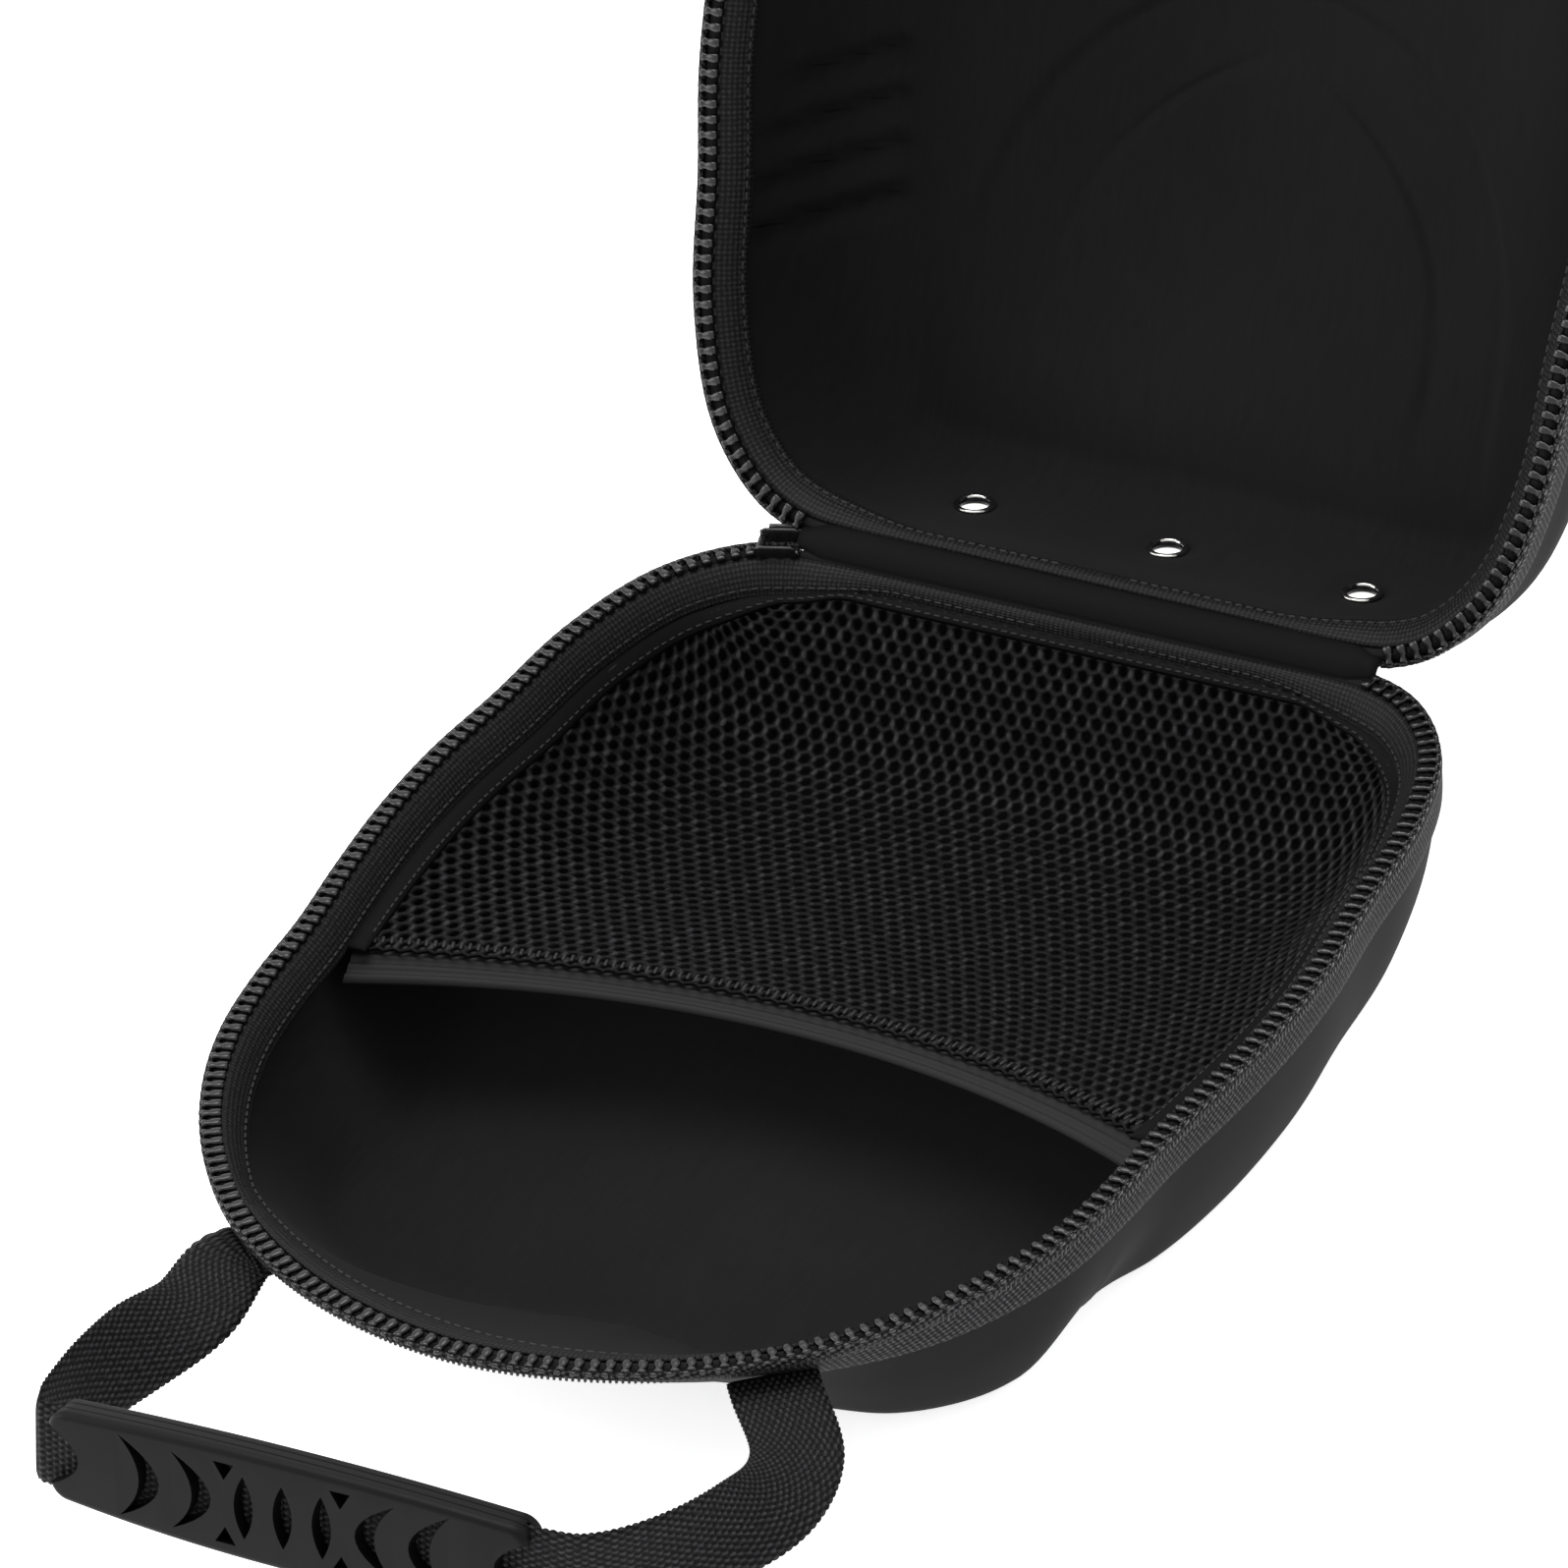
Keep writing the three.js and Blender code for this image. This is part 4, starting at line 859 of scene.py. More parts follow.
def eyelet_places():
    """Matrices that put Y through the hinge-end wall at each eyelet."""
    deep = LID_DEPTH * LID_ALONG[0]["height"] - RIM_DROP
    a, b = (Vector((row["inset"] * LID_INSETS["hinge"], row["depth"] * deep)) for row in LID_WALL[2:4])
    run = (b - a).normalized()
    middle = (a + b) / 2 + WALL / 2 * Vector((run.y, -run.x))
    tilt = Matrix.Rotation(math.atan2(run.x, run.y), 4, "X")
    return [
        Matrix.Translation((step * EYELET_PITCH, HINGE_Y - middle.x, RIM_DROP + middle.y)) @ tilt
        for step in (-1, 0, 1)
    ]


def make_lid_shell():
    """The domed lid with its relief, pinched and punched at each eyelet."""
    grid, lining_rows = shell_grid(LID, LID_FLOOR_RINGS, LID_UNDER_RINGS, lid_floor)
    normal = grid_normals(grid)
    if normal[5, 0, 2] < 0:
        normal = -normal
    relief = lid_relief(grid[:, :, 0], HINGE_Y - grid[:, :, 1])
    relief[lining_rows - 5:] = 0
    grid = grid + normal * relief[..., None]
    angles = np.arange(24) * math.tau / 24
    hole = np.stack([np.cos(angles), np.sin(angles)], 1) * (EYELET_BARREL + 0.25)
    punches = []
    for place in eyelet_places():
        back = np.array(place.inverted())
        local = grid @ back[:3, :3].T + back[:3, 3]
        reach = np.hypot(local[..., 0], local[..., 2])
        pinch = EYELET_PINCH * (1 - smooth_step(EYELET_RADIUS, EYELET_RADIUS * 1.9, reach))
        pinch = pinch * (np.abs(local[..., 1]) < 4) * np.sign(local[..., 1])
        grid = grid - pinch[..., None] * np.array(place)[:3, 1]
        punch = prism("eyelet_punch", hole, -8, 8, LINING)
        punch.data.transform(placed_in_metres(place @ Matrix.Rotation(math.pi / 2, 4, "X")))
        punches.append(punch)
    shell = cut_away(shell_skin("lid_shell_cloth", grid, lining_rows), "lid_shell_cloth", punches)
    shell.data.transform(placed_in_metres(LID_PLACE))
    finish_piece(shell, "lid", "shell", "lid_shell")


def make_eyelets():
    """A rolled ring at both faces and a barrel through the wall."""
    half = WALL / 2 - EYELET_PINCH
    roll = [(EYELET_BARREL + 0.38 + 0.67 * math.cos(math.radians(a)),
             0.5 * math.sin(math.radians(a))) for a in range(-60, 181, 30)]
    top = [(min(r, EYELET_RADIUS), half + h + 0.1) for r, h in roll]
    bottom = [(r, -h) for r, h in reversed(top)]
    bore = [(EYELET_HOLE, half - 0.5), (EYELET_HOLE - 0.05, 0), (EYELET_HOLE, -half + 0.5)]
    # The bore's rows take the barrel finish, painted dark as shade
    slots = [0] * (len(top) - 1) + [1] * (len(bore) + 1) + [0] * len(bottom)
    for word, place in zip(("left", "middle", "right"), eyelet_places()):
        ring = turned_piece("nickel_eyelet_" + word, [*top, *bore, *bottom], [NICKEL, BARREL],
                            LID_PLACE @ place, slots)
        finish_piece(ring, "lid", "eyelets", "eyelet_" + word)


# Seam bindings, tapes and teeth

def binding_foot(shell):
    """How far in and how deep the edge and the foot of a rim binding lie, at each
    station. The binding is narrower at the hinge."""
    edge = shell.across_at(shell.inner, RIM_DROP) + 0.45
    low = RIM_DROP + BINDING_DEPTH - 3.6 * AT_HINGE
    wide = BINDING_WIDTH - 3.0 * AT_HINGE
    return edge, np.maximum(edge + wide, shell.across_at(shell.inner, low) + 1.6 - 1.0 * AT_HINGE), low


def make_binding(shell):
    """Herringbone ribbon over the raw seam inside the rim: a smooth turned edge by the
    teeth, then the stitched foot."""
    edge, foot, low = binding_foot(shell)

    def across(share):
        return edge + (foot - edge) * share, RIM_DROP + (low - RIM_DROP) * share

    section = []
    for t in np.linspace(0, 1, 9):
        bulge = BINDING_BULGE * math.sin(math.pi * t)
        inward, depth = across(t)
        section.append((inward + bulge * 0.5, depth - bulge - 0.7))
    for t in (1.0, 0.66, 0.33, 0.0):
        inward, depth = across(t)
        section.append((inward, depth + 0.25))
    rows = np.stack([RIM.band(inward, depth, shell.up) for inward, depth in section])
    middle = np.array([(inward.mean(), depth.mean()) for inward, depth in [*section, section[0]]])
    name = shell.body + "_herringbone_binding"
    u = np.append(RIM.at, RIM.round)
    ribbon = loft(name, "ring", rows, [BINDING], shell.place, u, distances(middle))
    finish_piece(ribbon, shell.body, "binding", shell.body + "_binding")
    inward, depth = across(SEAM_SHARE)
    path = RIM.band(inward + 0.25, depth - 1.05, shell.up)[4:-4]
    row_of_bars(name + "_stitches", path, BINDING_STITCH, STITCH_PITCH, THREAD, shell, "binding")


def hinge_free(start=TEETH_START):
    """Stations on the long way round, clear of the hinge strip."""
    return np.where((np.abs(RIM.p[:, 0]) >= start) | (RIM.share >= 0.1))[0]


def make_tape(shell):
    """Woven tape down the outside of the wall, under the teeth, with the loops of cord
    that show between them."""
    keep = hinge_free()
    depths = np.linspace(1.0, RIM_DROP + TAPE_WIDTH, TAPE_ROWS)
    outer = [shell.across_at(shell.outer, max(depth, RIM_DROP)) - 0.28 for depth in depths]
    rows = [
        RIM.band(outer[k] - lift, depths[k], shell.up)[keep]
        for lift, order in ((TAPE_THICKNESS, 1), (0.0, -1)) for k in range(TAPE_ROWS)[::order]]
    v = np.concatenate([
        np.linspace(0, TAPE_WIDTH + 1.5, TAPE_ROWS),
        np.linspace(TAPE_WIDTH + 2.4, 2 * TAPE_WIDTH + 3, TAPE_ROWS + 1),
    ])
    name = shell.body + "_woven_tape"
    tape = loft(name, "band", np.stack(rows), [TAPE], shell.place, RIM.at[keep], v)
    finish_piece(tape, shell.body, "zipper_tape", shell.body + "_zipper_tape")
    path = RIM.band((outer[1] + outer[2]) / 2 - TAPE_THICKNESS + 0.1, 3.1, shell.up)[keep]
    row_of_bars(name + "_cord_loops", path, CORD_LOOP, CORD_LOOP_PITCH, THREAD, shell, "zipper_tape")


def make_tooth():
    """One moulded tooth: a root that clamps the cord, a narrower neck and a head."""
    rows = (
        (-2.2, 0.72, 0.66), (-2.05, 1.02, 0.88), (-1.2, 1.12, 0.95), (-0.2, 1.05, 0.92),
        (0.5, 0.72, 0.80), (1.0, 0.74, 0.82), (1.45, 1.00, 0.90), (1.95, 1.00, 0.86), (2.1, 0.74, 0.62),
    )
    turns = [(math.cos(math.radians(a)), math.sin(math.radians(a))) for a in range(0, 360, 36)]
    grid = [
        [(half_long * math.copysign(abs(c) ** 0.45, c), y, half_high * math.copysign(abs(s) ** 0.45, s))
         for c, s in turns] for y, half_long, half_high in rows]
    return loft("zipper_tooth", "rod", np.array(grid), [TEETH])


def make_teeth(shell, late):
    """The separate teeth and the caps on their outer ends, set round the rim."""
    keep = hinge_free(TEETH_START + late)
    path = RIM.band(1.5, 1.25, shell.up)[keep]
    name = shell.body + "_moulded_teeth"
    teeth = set_along(name, path, make_tooth(), TOOTH_PITCH, TEETH, shell.place)
    finish_piece(teeth, shell.body, "zipper_teeth", shell.body + "_zipper_teeth")
    path = RIM.band(-0.8, 1.3, shell.up)[keep]
    row_of_bars(name + "_outer_caps", path, TOOTH_CAP, TOOTH_PITCH, TEETH, shell, "zipper_teeth")


# Mesh pocket and its elastic

def half_width_at(y, inset):
    """Half the opening's width at a place along the case, inside the binding."""
    edge = (RIM.p + RIM.inward * inset)[RIM.p[:, 0] >= -1e-6]
    edge = edge[np.argsort(-edge[:, 1])]
    return np.interp(-np.asarray(y, float), -edge[:, 1], np.maximum(edge[:, 0], 0))


def pocket_points(across, share, drop=0.0):
    """Points of the pocket's middle surface from shares across and along it."""
    across, share = np.asarray(across, float), np.asarray(share, float)
    reach = POCKET_LENGTH - POCKET_BOW * (1 - across**2)
    start = (1 - smooth_step(0, 0.10, share)) * (1 - smooth_step(0.74, 0.98, np.abs(across)))
    y = HINGE_Y - POCKET_INSET - TAPE_GAP - share * reach
    side = 1 - np.abs(across) ** along(POCKET_TABLE, "side", share)
    sag = POCKET_SAG * along(POCKET_TABLE, "sag", share) * side
    x = across * half_width_at(y, POCKET_INSET)
    return np.stack([x, y + 3.5 * start, -(POCKET_TOP + sag + drop - 4.3 * start)], -1)


class PocketCloth:
    """The pocket's cloth laid flat: distances along and across it, in millimetres,
    against places on the pocket's surface."""

    def __init__(self):
        self.across = np.sin(np.linspace(-0.5, 0.5, 241) * math.pi)
        self.share = np.linspace(0, 1, 201)
        grid = pocket_points(self.across[None, :], self.share[:, None])
        middle = len(self.across) // 2
        self.down = distances(grid[:, middle])
        run = np.array([distances(row) for row in grid])
        self.over = run - run[:, middle:middle + 1]

    def half_at(self, b):
        return np.interp(b, self.down, self.over[:, -1])

    def surface(self, a, b):
        share = np.interp(b, self.down, self.share)
        row = np.clip(share * (len(self.share) - 1), 0, len(self.share) - 1.001)
        low = row.astype(int)
        t = row - low
        across = np.empty_like(a)
        for r in np.unique(low):
            pick = low == r
            one, two = (np.interp(a[pick], self.over[k], self.across) for k in (r, r + 1))
            across[pick] = one + (two - one) * t[pick]
        return pocket_points(across, share)

    def place(self, a, b, height):
        """Points over the cloth at a height above its middle."""
        e = 0.4
        da = self.surface(a + e, b) - self.surface(a - e, b)
        db = self.surface(a, b + e) - self.surface(a, b - e)
        normal = unit(np.cross(da, db))
        normal *= np.where(normal[:, 2] < 0, -1, 1)[:, None]
        return self.surface(a, b) + normal * height[:, None]


CLOTH = PocketCloth()


def make_mesh_pocket():
    """Knitted net with oval holes in staggered rows. Tiles that Geometry Nodes would set
    on the curved cloth leave cracks between them, so the net is laid out flat, as one
    closed skin, and then moved on to the pocket's surface."""
    half, third = HOLE_PITCH / 2, HOLE_ROW / 3
    corners = np.array([
        (0, 2 * third), (half, third), (half, -third), (0, -2 * third), (-half, -third), (-half, third)])
    between = (corners + np.roll(corners, -1, axis=0)) / 2
    rim = np.stack([corners, between], 1).reshape(-1, 2)
    angles = np.arctan2(rim[:, 1], rim[:, 0])
    hole = np.stack([np.cos(angles) * HOLE_PITCH * 0.21, np.sin(angles) * HOLE_ROW * 0.34], 1)
    last = CLOTH.down[-1] - ELASTIC_WIDTH * 0.55
    points, heights, seen, faces = [], [], {}, []

    def vertex(a, b, side):
        key = (round(a * 50), round(b * 50), side)
        if key not in seen:
            seen[key] = len(points)
            points.append((a, b))
            heights.append(side * POCKET_THICKNESS / 2)
        return seen[key]

    for j in range(int(last / HOLE_ROW) + 1):
        b = FIRST_HOLE_ROW + j * HOLE_ROW
        limit = CLOTH.half_at(b) - HOLE_PITCH * 0.55
        columns = int(limit / HOLE_PITCH) + 1
        for i in range(-columns - 1, columns + 1):
            a = (i + 0.5 * (j % 2)) * HOLE_PITCH
            if abs(a) > limit or b > last:
                continue
            base = len(points)
            points.extend((a + x, b + y) for x, y in hole)
            heights.extend([0.0] * len(hole))
            top = [vertex(a + x, b + y, 1) for x, y in rim]
            low = [vertex(a + x, b + y, -1) for x, y in rim]
            for k in range(12):
                n = (k + 1) % 12
                faces.append((top[n], top[k], base + k, base + n))
                faces.append((low[k], low[n], base + n, base + k))
    points, heights = np.array(points), np.array(heights)
    # The net's cut edge, between its upper and lower faces
    edges = dict.fromkeys((p, q) for face in faces for p, q in zip(face, face[1:] + face[:1]))
    low_of = {top: seen[(a, b, -1)] for (a, b, side), top in seen.items() if side == 1}
    for p, q in edges:
        if (q, p) not in edges and p in low_of and q in low_of:
            faces.append((q, p, low_of[p], low_of[q]))
    side = CLOTH.half_at(points[:, 1]) - 0.5
    placed = CLOTH.place(np.clip(points[:, 0], -side, side),
                         np.clip(points[:, 1], 0.5, CLOTH.down[-1] - 0.5), heights)
    # UV shift that puts the net's painted highlights on the strands between the holes
    painted_highlight_between_holes = [0.75 * HOLE_PITCH, HOLE_ROW / 2 - FIRST_HOLE_ROW]
    uv = np.vstack([points[list(face)] for face in faces]) + painted_highlight_between_holes
    net = make_piece("knitted_net_pocket", placed, faces, [MESH], uv, place=TRAY_PLACE)
    finish_piece(net, "tray", "mesh", "mesh_pocket")


def make_pocket_hem():
    """Plain woven hem that holds the net's cut edge, from under the rim binding."""
    b = np.linspace(0.6, CLOTH.down[-1] - 1, 160)
    half = CLOTH.half_at(b) - 0.7
    top = np.linspace(half[0], -half[0], 161)[1:-1]
    edge = np.column_stack([
        np.concatenate([half[::-1], top, -half]),
        np.concatenate([b[::-1], np.full(len(top), 0.6), b]),
    ])
    edge[:, 0] *= 1 - HEM_WIDTH / CLOTH.half_at(edge[:, 1])
    edge[:, 1] = np.maximum(edge[:, 1], 2.9)
    inner = CLOTH.place(edge[:, 0], edge[:, 1], np.full(len(edge), 0.75))
    _, foot, low = binding_foot(TRAY)
    under = RIM.band(foot - 1.1, low + 0.15, TRAY.up)
    right = np.where((RIM.p[:, 1] > inner[0, 1]) & (RIM.at < RIM.round / 2))[0]
    left = np.where((RIM.p[:, 1] > inner[-1, 1]) & (RIM.at >= RIM.round / 2))[0]
    outer = under[np.concatenate([right[::-1], left[::-1]])]
    beside = [np.argmin(np.linalg.norm(inner - place, axis=1)) for place in outer]
    inner = inner[np.maximum.accumulate(beside)]
    rows = [
        outer + (inner - outer) * t + [0, 0, lift + 0.6 * math.sin(math.pi * t)]
        for lift, order in ((0.45, 1), (-0.45, -1)) for t in np.linspace(0, 1, 6)[::order]]
    run = distances(outer)
    hem = loft("pocket_hem", "band", np.stack(rows), [HINGE_CLOTH], TRAY_PLACE, run, np.linspace(0, 14, 13))
    finish_piece(hem, "tray", "mesh")
    path = (outer + (inner - outer) * SEAM_SHARE + [0, 0, 0.75])[3:-3]
    row_of_bars("pocket_hem_stitches", path, HEM_STITCH, HEM_STITCH_PITCH, THREAD, TRAY, "mesh")


def make_elastic():
    """Ribbed elastic on the pocket's free edge, its ends tucked under the binding."""
    across = np.sin(np.linspace(-0.5, 0.5, 401) * math.pi * 0.985)
    steps = 4 * ELASTIC_RIBS
    shares = 1 - ELASTIC_WIDTH / POCKET_LENGTH * np.linspace(1, 0, steps + 1)
    grid = []
    for side in (1, -1):
        for k in range(steps + 1)[::side]:
            rib = abs(math.sin(math.pi * ELASTIC_RIBS * k / steps))
            rise = ELASTIC_THICKNESS / 2 * (0.3 + 0.7 * rib) * side
            drop = 0.8 + ELASTIC_HANG * k / steps - rise
            grid.append(pocket_points(across, np.full_like(across, shares[k]), drop))
    grid = np.stack(grid)
    run = distances(grid[0])
    v = np.linspace(0, 2 * ELASTIC_WIDTH, len(grid) + 1)
    band = loft("pocket_elastic_band", "band", grid, [ELASTIC], TRAY_PLACE, run, v)
    finish_piece(band, "tray", "elastic", "pocket_elastic")
    path = pocket_points(across, np.full_like(across, shares[0]), -0.35)[4:-4]
    row_of_bars("elastic_overlock", path, OVERLOCK, OVERLOCK_PITCH, THREAD, TRAY, "elastic")


# Hinge strip

def make_hinge_strip():
    """The folded cloth that joins both shells; it bends at the pivot line."""
    inner = -PIVOT_OFFSET + 0.3
    outer = inner + HINGE_STRIP_THICKNESS
    angle = -math.radians(LID_OPEN_ANGLE)

    def face(y, reach):
        low = [(y, z) for z in np.linspace(-TAPE_WIDTH, -1.2, 6)]
        fold = [(y * math.cos(angle * t) - reach * math.sin(angle * t) * 0.15,
                 y * math.sin(angle * t) + 0.2 * (t - 0.5)) for t in np.linspace(0, 1, 9)]
        high = [(y * math.cos(angle) - z * math.sin(angle), y * math.sin(angle) + z * math.cos(angle))
                for z in np.linspace(1.2, TAPE_WIDTH, 6)]
        return [*low, *fold, *high]

    loop = np.array([*face(inner, 0), *face(outer, 1)[::-1]])
    xs = np.linspace(-HINGE_STRIP_LENGTH / 2, HINGE_STRIP_LENGTH / 2, 61)
    grid = np.array([[(x, HINGE_Y + PIVOT_OFFSET + y, z) for x in xs] for y, z in loop])
    strip = loft("hinge_cloth_strip", "band", grid, [HINGE_CLOTH], TRAY_PLACE, xs)
    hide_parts("hinge_strip")
    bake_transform(strip)


def make_fold_lining():
    """Satin cloth that covers the fold between both shells' edges at the hinge."""
    pivot_y = HINGE_Y + PIVOT_OFFSET
    a, b = np.array([-3.6, -2.2]), np.array([3.9, 2.9])
    rise = unit(np.array([a[1] - b[1], b[0] - a[0]]))
    section = []
    for thick, order in ((1.0, 1), (0.0, -1)):
        for t in np.linspace(0, 1, 15)[::order]:
            swell = math.sin(math.pi * t)
            section.append(a + (b - a) * t + rise * (0.9 * swell + thick * swell**0.4))
    end = HINGE_STRIP_LENGTH / 2 + 2
    xs = np.linspace(-end, end, 73)
    size = 1 - 0.45 * smooth_step(end - 7, end, np.abs(xs))
    grid = np.array([[(x, pivot_y + y * k, z * k) for x, k in zip(xs, size)] for y, z in section])
    v = np.linspace(0, 20, len(section) + 1)
    cover = loft("satin_fold_lining", "band", grid, [HINGE_CLOTH], TRAY_PLACE, xs, v)
    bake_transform(cover)


# Slider

def make_slider():
    """Cast slider: two plates that hold both tooth rows, a divider between the rows, a
    bridge, and a flat puller that hangs outside."""
    left = np.where((RIM.p[:, 0] < 0) & (RIM.share < 0.1))[0]
    station = left[np.argmin(np.abs(RIM.p[left, 0] + SLIDER_ACROSS))]
    p, inward = RIM.p[station], RIM.inward[station]
    turn = math.atan2(inward[1], inward[0]) - math.pi / 2
    at = TRAY_PLACE @ Matrix.Translation((p[0], p[1], 0)) @ Matrix.Rotation(turn, 4, "Z")
    for name, (sizes, offset) in SLIDER_PARTS.items():
        bar = rounded_bar(name, *sizes, ENAMEL)
        bar.data.transform(placed_in_metres(at @ Matrix.Translation(offset)))
        finish_piece(bar, "tray", "slider", *(["zip_slider"] if name == "slider_outer_plate" else []))


# Handle

def grip_line(x):
    return -RIM_LENGTH / 2 - HANDLE_REACH + GRIP_BOW * ((x - GRIP_SHIFT) / (GRIP_LENGTH / 2)) ** 2


def handle_side(table, side):
    """Points and turns of the webbing from one root on the tray's wall to the grip."""
    half = HANDLE_ROOT_SPAN / 2
    station = np.argmin(np.abs(RIM.p[:, 0] - half) + 1000 * (RIM.share < 0.5))
    outer = TRAY.across_at(TRAY.outer, ROOT_DROP)[station] - WEBBING_THICKNESS
    level = RIM_Z - ROOT_DROP
    rows = []
    for straight in (0, ROOT_STRAIGHT):
        at = RIM.p[station] + RIM.inward[station] * (outer - straight)
        rows.append(((side * at[0], at[1], level), -side))
    for row in table:
        y = -RIM_LENGTH / 2 - row["out"] * HANDLE_REACH
        rows.append(((side * row["across"] * half, y, level + row["lift"]), -side * row["turn"]))
    return rows


def handle_route():
    """Points and turns of the webbing from the left root to the right root."""
    middle = []
    for share in (-1.07, -1, -0.9, -0.6, -0.3, 0, 0.3, 0.6, 0.9, 1.06):
        x = GRIP_SHIFT + share * GRIP_LENGTH / 2
        middle.append(((x, grip_line(x), RIM_Z - HANDLE_LEVEL), -GRIP_TILT / 90))
    rows = handle_side(HANDLE_LEFT, -1) + middle + handle_side(HANDLE_RIGHT, 1)[::-1]
    return np.array([r[0] for r in rows]), np.array([r[1] for r in rows], float)


def make_webbing():
    """Heavy webbing woven in ribs across its width, with edges that scallop with them."""
    route, turns = handle_route()
    steps = 40
    fine = curve_through(route, steps)
    fine_turn = np.interp(np.arange(len(fine)) / steps, np.arange(len(turns)), turns)
    fine_turn = np.convolve(np.pad(fine_turn, 30, mode="edge"), np.ones(61) / 61, mode="valid")
    run = distances(fine)
    wanted = np.arange(0, run[-1], RIB_PITCH / 4)
    at = evenly(fine, wanted)
    angle = np.interp(wanted, run, fine_turn)[:, None] * math.pi / 2
    tangent = unit(np.gradient(at, axis=0))
    level = unit(np.cross(tangent, [0, 0, 1]))
    wide = np.cross(level, tangent) * np.cos(angle) + level * np.sin(angle)
    thick = np.cross(tangent, wide)
    rib = np.abs(np.sin(math.pi * wanted / RIB_PITCH))
    rows = []
    places = np.linspace(-1, 1, 13)
    for side in (1, -1):
        for w in places * side:
            edge = abs(w) ** 10
            across = w * (WEBBING_WIDTH / 2 - 0.35 * (1 - rib) * edge)
            lift = side * (WEBBING_THICKNESS / 2) * (0.5 + 0.5 * rib) * (1 - 0.7 * edge)
            rows.append(at + wide * across[:, None] + thick * lift[:, None])
    v = np.concatenate([places * 10 + 10, places * 10 + 32, [44]])
    strap = loft("rib_woven_strap", "band", np.stack(rows), [WEBBING], None, wanted, v)
    finish_piece(strap, "tray", "webbing", "handle_webbing")


def grip_outline():
    """The grip's face: long edges that crown to the middle, with rounded corners."""
    half = GRIP_LENGTH / 2
    flat = half - GRIP_CORNER

    def high(x):
        return (GRIP_HEIGHT + (GRIP_END_HEIGHT - GRIP_HEIGHT) * (x / half) ** 2) / 2

    right = [(x, high(x)) for x in np.linspace(0, flat, GRIP_STATIONS)]
    for degrees in range(80, -1, -10):
        a = math.radians(degrees)
        right.append((half - GRIP_CORNER * (1 - math.cos(a)), high(flat) - GRIP_CORNER * (1 - math.sin(a))))
    upper = [(-x, y) for x, y in right[:0:-1]] + right
    return upper + [(x, -y) for x, y in upper[::-1]]


def window_outline(near, far, tips, height):
    """A window between two bowed sides that meet at pointed tips."""
    up, down = (
        [(tips + (edge - tips) * (1 - t * t), t * height / 2) for t in np.linspace(-1, 1, 13)[::order]]
        for edge, order in ((near, 1), (far, -1)))
    return up + down[1:-1]


def grip_windows():
    shapes = [window_outline(-GRIP_SLIT / 2, GRIP_SLIT / 2, 0, GRIP_SLIT_HEIGHT)]
    near, far = GRIP_NOTCH["near"], GRIP_NOTCH["far"]
    for side in (-1, 1):
        for row in GRIP_WINDOWS:
            near_x, far_x, tips = (side * row[name] for name in ("near", "far", "tips"))
            shapes.append(window_outline(near_x, far_x, tips, row["height"]))
        for up in (-1, 1):
            high, low = up * GRIP_NOTCH["high"], up * GRIP_NOTCH["low"]
            shapes.append([(side * near, high), (side * far, high), (side * (near + far) / 2, low)])
    return shapes


def drawn_in(outline, shrink):
    """The outline moved inwards by an even distance."""
    points = np.array(outline)
    run = unit(np.roll(points, -1, axis=0) - np.roll(points, 1, axis=0))
    out = np.stack([run[:, 1], -run[:, 0]], 1)
    if (points * out).sum() < 0:
        out = -out
    return points - out * shrink


def make_grip():
    """Satin rubber grip, moulded round the webbing: rounded edges, two parting lines,
    and windows in its face that show the ribs."""
    half = GRIP_THICKNESS / 2
    lap = WEBBING_THICKNESS / 2 + 0.05
    section = []
    for degrees in range(90, -1, -15):
        a = math.radians(degrees)
        section.append((-half + GRIP_EDGE * (1 - math.sin(a)), GRIP_EDGE * (1 - math.cos(a))))
    section += [(-lap - 0.55, 0), (-lap - 0.3, PARTING_DEPTH), (-lap - 0.05, 0)]
    section += [(-depth, shrink) for depth, shrink in reversed(section)]
    outline = grip_outline()
    grid = np.array([[(x, y, depth) for x, y in drawn_in(outline, shrink)] for depth, shrink in section])
    grip = loft("grip_body", "rod", grid, [GRIP])
    cutters = [prism("grip_window", shape, -half - 1, 0, GRIP) for shape in grip_windows()]
    wide, long = WEBBING_WIDTH / 2 + 0.03, GRIP_LENGTH / 2 + 5
    slot = [(-long, -wide), (long, -wide), (long, wide), (-long, wide)]
    cutters.append(prism("webbing_slot", slot, -lap, lap, GRIP))
    grip = cut_away(grip, "moulded_rubber_grip", cutters)
    bm = bmesh.new()
    bm.from_mesh(grip.data)
    reach = GRIP_LENGTH / 2 - GRIP_CORNER
    for x in np.linspace(-reach, reach, GRIP_STATIONS):
        everything = [*bm.verts, *bm.edges, *bm.faces]
        bmesh.ops.bisect_plane(bm, geom=everything, dist=1e-6, plane_co=(x * MM, 0, 0), plane_no=(1, 0, 0))
    lean = math.radians(GRIP_TILT)
    for v in bm.verts:
        x, high, deep = v.co / MM
        x += GRIP_SHIFT
        y = grip_line(x) + deep * math.cos(lean) + high * math.sin(lean)
        z = RIM_Z - HANDLE_LEVEL + high * math.cos(lean) - deep * math.sin(lean)
        v.co = Vector((x, y, z)) * MM
    bm.to_mesh(grip.data)
    bm.free()
    plate = Vector((0, math.cos(lean), -math.sin(lean)))
    rounded = [abs(face.normal.dot(plate)) < 0.985 for face in grip.data.polygons]
    grip.data.polygons.foreach_set("use_smooth", rounded)
    grip.data.set_sharp_from_angle(angle=math.radians(35))
    finish_piece(grip, "tray", "grip", "handle_grip")


# Camera, floor and light

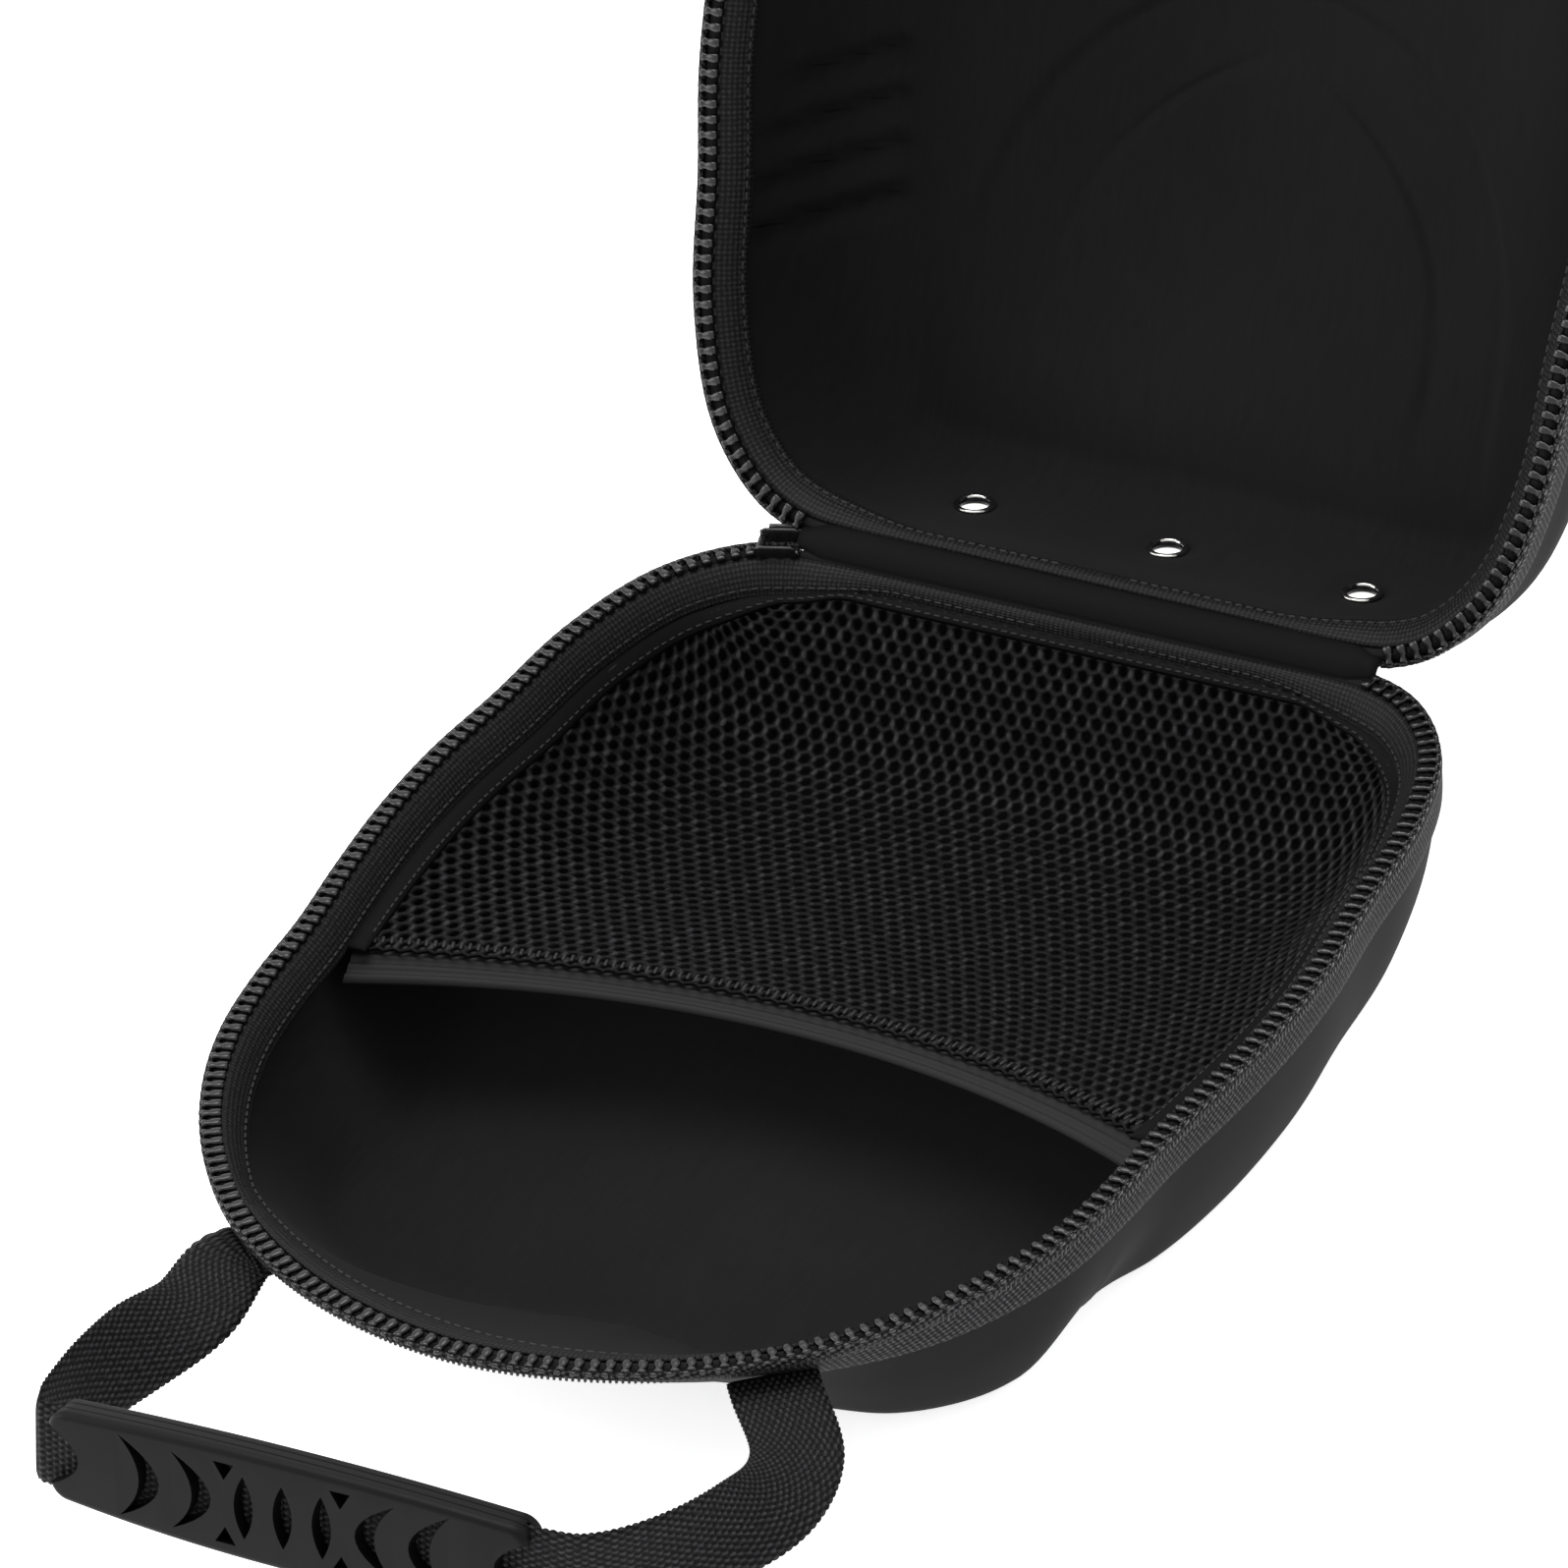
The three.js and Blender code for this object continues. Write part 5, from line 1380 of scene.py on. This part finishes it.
def make_camera():
    data = bpy.data.cameras.new("photo_camera")
    data.lens = CAMERA_LENS
    data.sensor_width = SENSOR_WIDTH
    data.clip_end = 20
    data.dof.use_dof = False
    camera = in_scene("photo_camera", data)
    turn = Matrix(CAMERA_AXES).transposed().to_quaternion()
    camera.matrix_world = Matrix.LocRotScale(Vector(CAMERA_PLACE) * MM, turn, None)
    bpy.context.scene.camera = camera


def area_light(name, place, size, power, aim=(0, 0.06, 0.1)):
    """A soft box. Its place, size and aim are in metres."""
    data = bpy.data.lights.new(name, "AREA")
    data.shape = "RECTANGLE"
    data.size, data.size_y = size
    data.energy = power
    light = in_scene(name, data)
    light.location = place
    light.rotation_euler = (Vector(aim) - Vector(place)).to_track_quat("-Z", "Y").to_euler()


def make_studio():
    """Pale floor and an even white room, with two large soft boxes."""
    # Pale board: plain and matt, lit a little from within so that it reads as white
    material, tree, shader = new_material(
        "pale_studio_floor", 0.9, Specular_IOR_Level=0.1, Emission_Color=(1, 1, 1, 1),
        Emission_Strength=0.75)
    soft = add(tree, "ShaderNodeTexNoise", {
        "Vector": scaled(tree, (400, 400, 400)), "Scale": 1, "Detail": 1})
    finish_material(tree, shader, mix_colour(tree, soft.outputs["Fac"], "#fafafa", "#fdfdfd"))
    mesh = bpy.data.meshes.new("studio_floor")
    mesh.from_pydata([(x * 6, y * 6, -0.0004) for x, y in ((-1, -1), (1, -1), (1, 1), (-1, 1))],
                     [], [(0, 1, 2, 3)])
    mesh.materials.append(material)
    in_scene("studio_floor", mesh)
    world = bpy.data.worlds.new("white_room")
    bpy.context.scene.world = world
    world.use_nodes = True
    sky = world.node_tree.nodes["Background"]
    sky.inputs["Color"].default_value = (1, 1, 1, 1)
    sky.inputs["Strength"].default_value = 1.0
    area_light("soft_box_over", (-0.3, 0.2, 1.9), (1.6, 1.2), 26)
    area_light("soft_box_left", (-1.7, -0.9, 0.9), (1.2, 1.2), 14)
    bpy.context.scene.view_settings.view_transform = "Standard"


make_camera()
make_studio()
make_tray_shell()
make_lid_shell()
make_eyelets()
for shell, late in ((TRAY, 0), (LID, TOOTH_PITCH / 2)):
    make_binding(shell)
    make_tape(shell)
    make_teeth(shell, late)
make_mesh_pocket()
make_pocket_hem()
make_elastic()
make_hinge_strip()
make_fold_lining()
make_slider()
make_webbing()
make_grip()
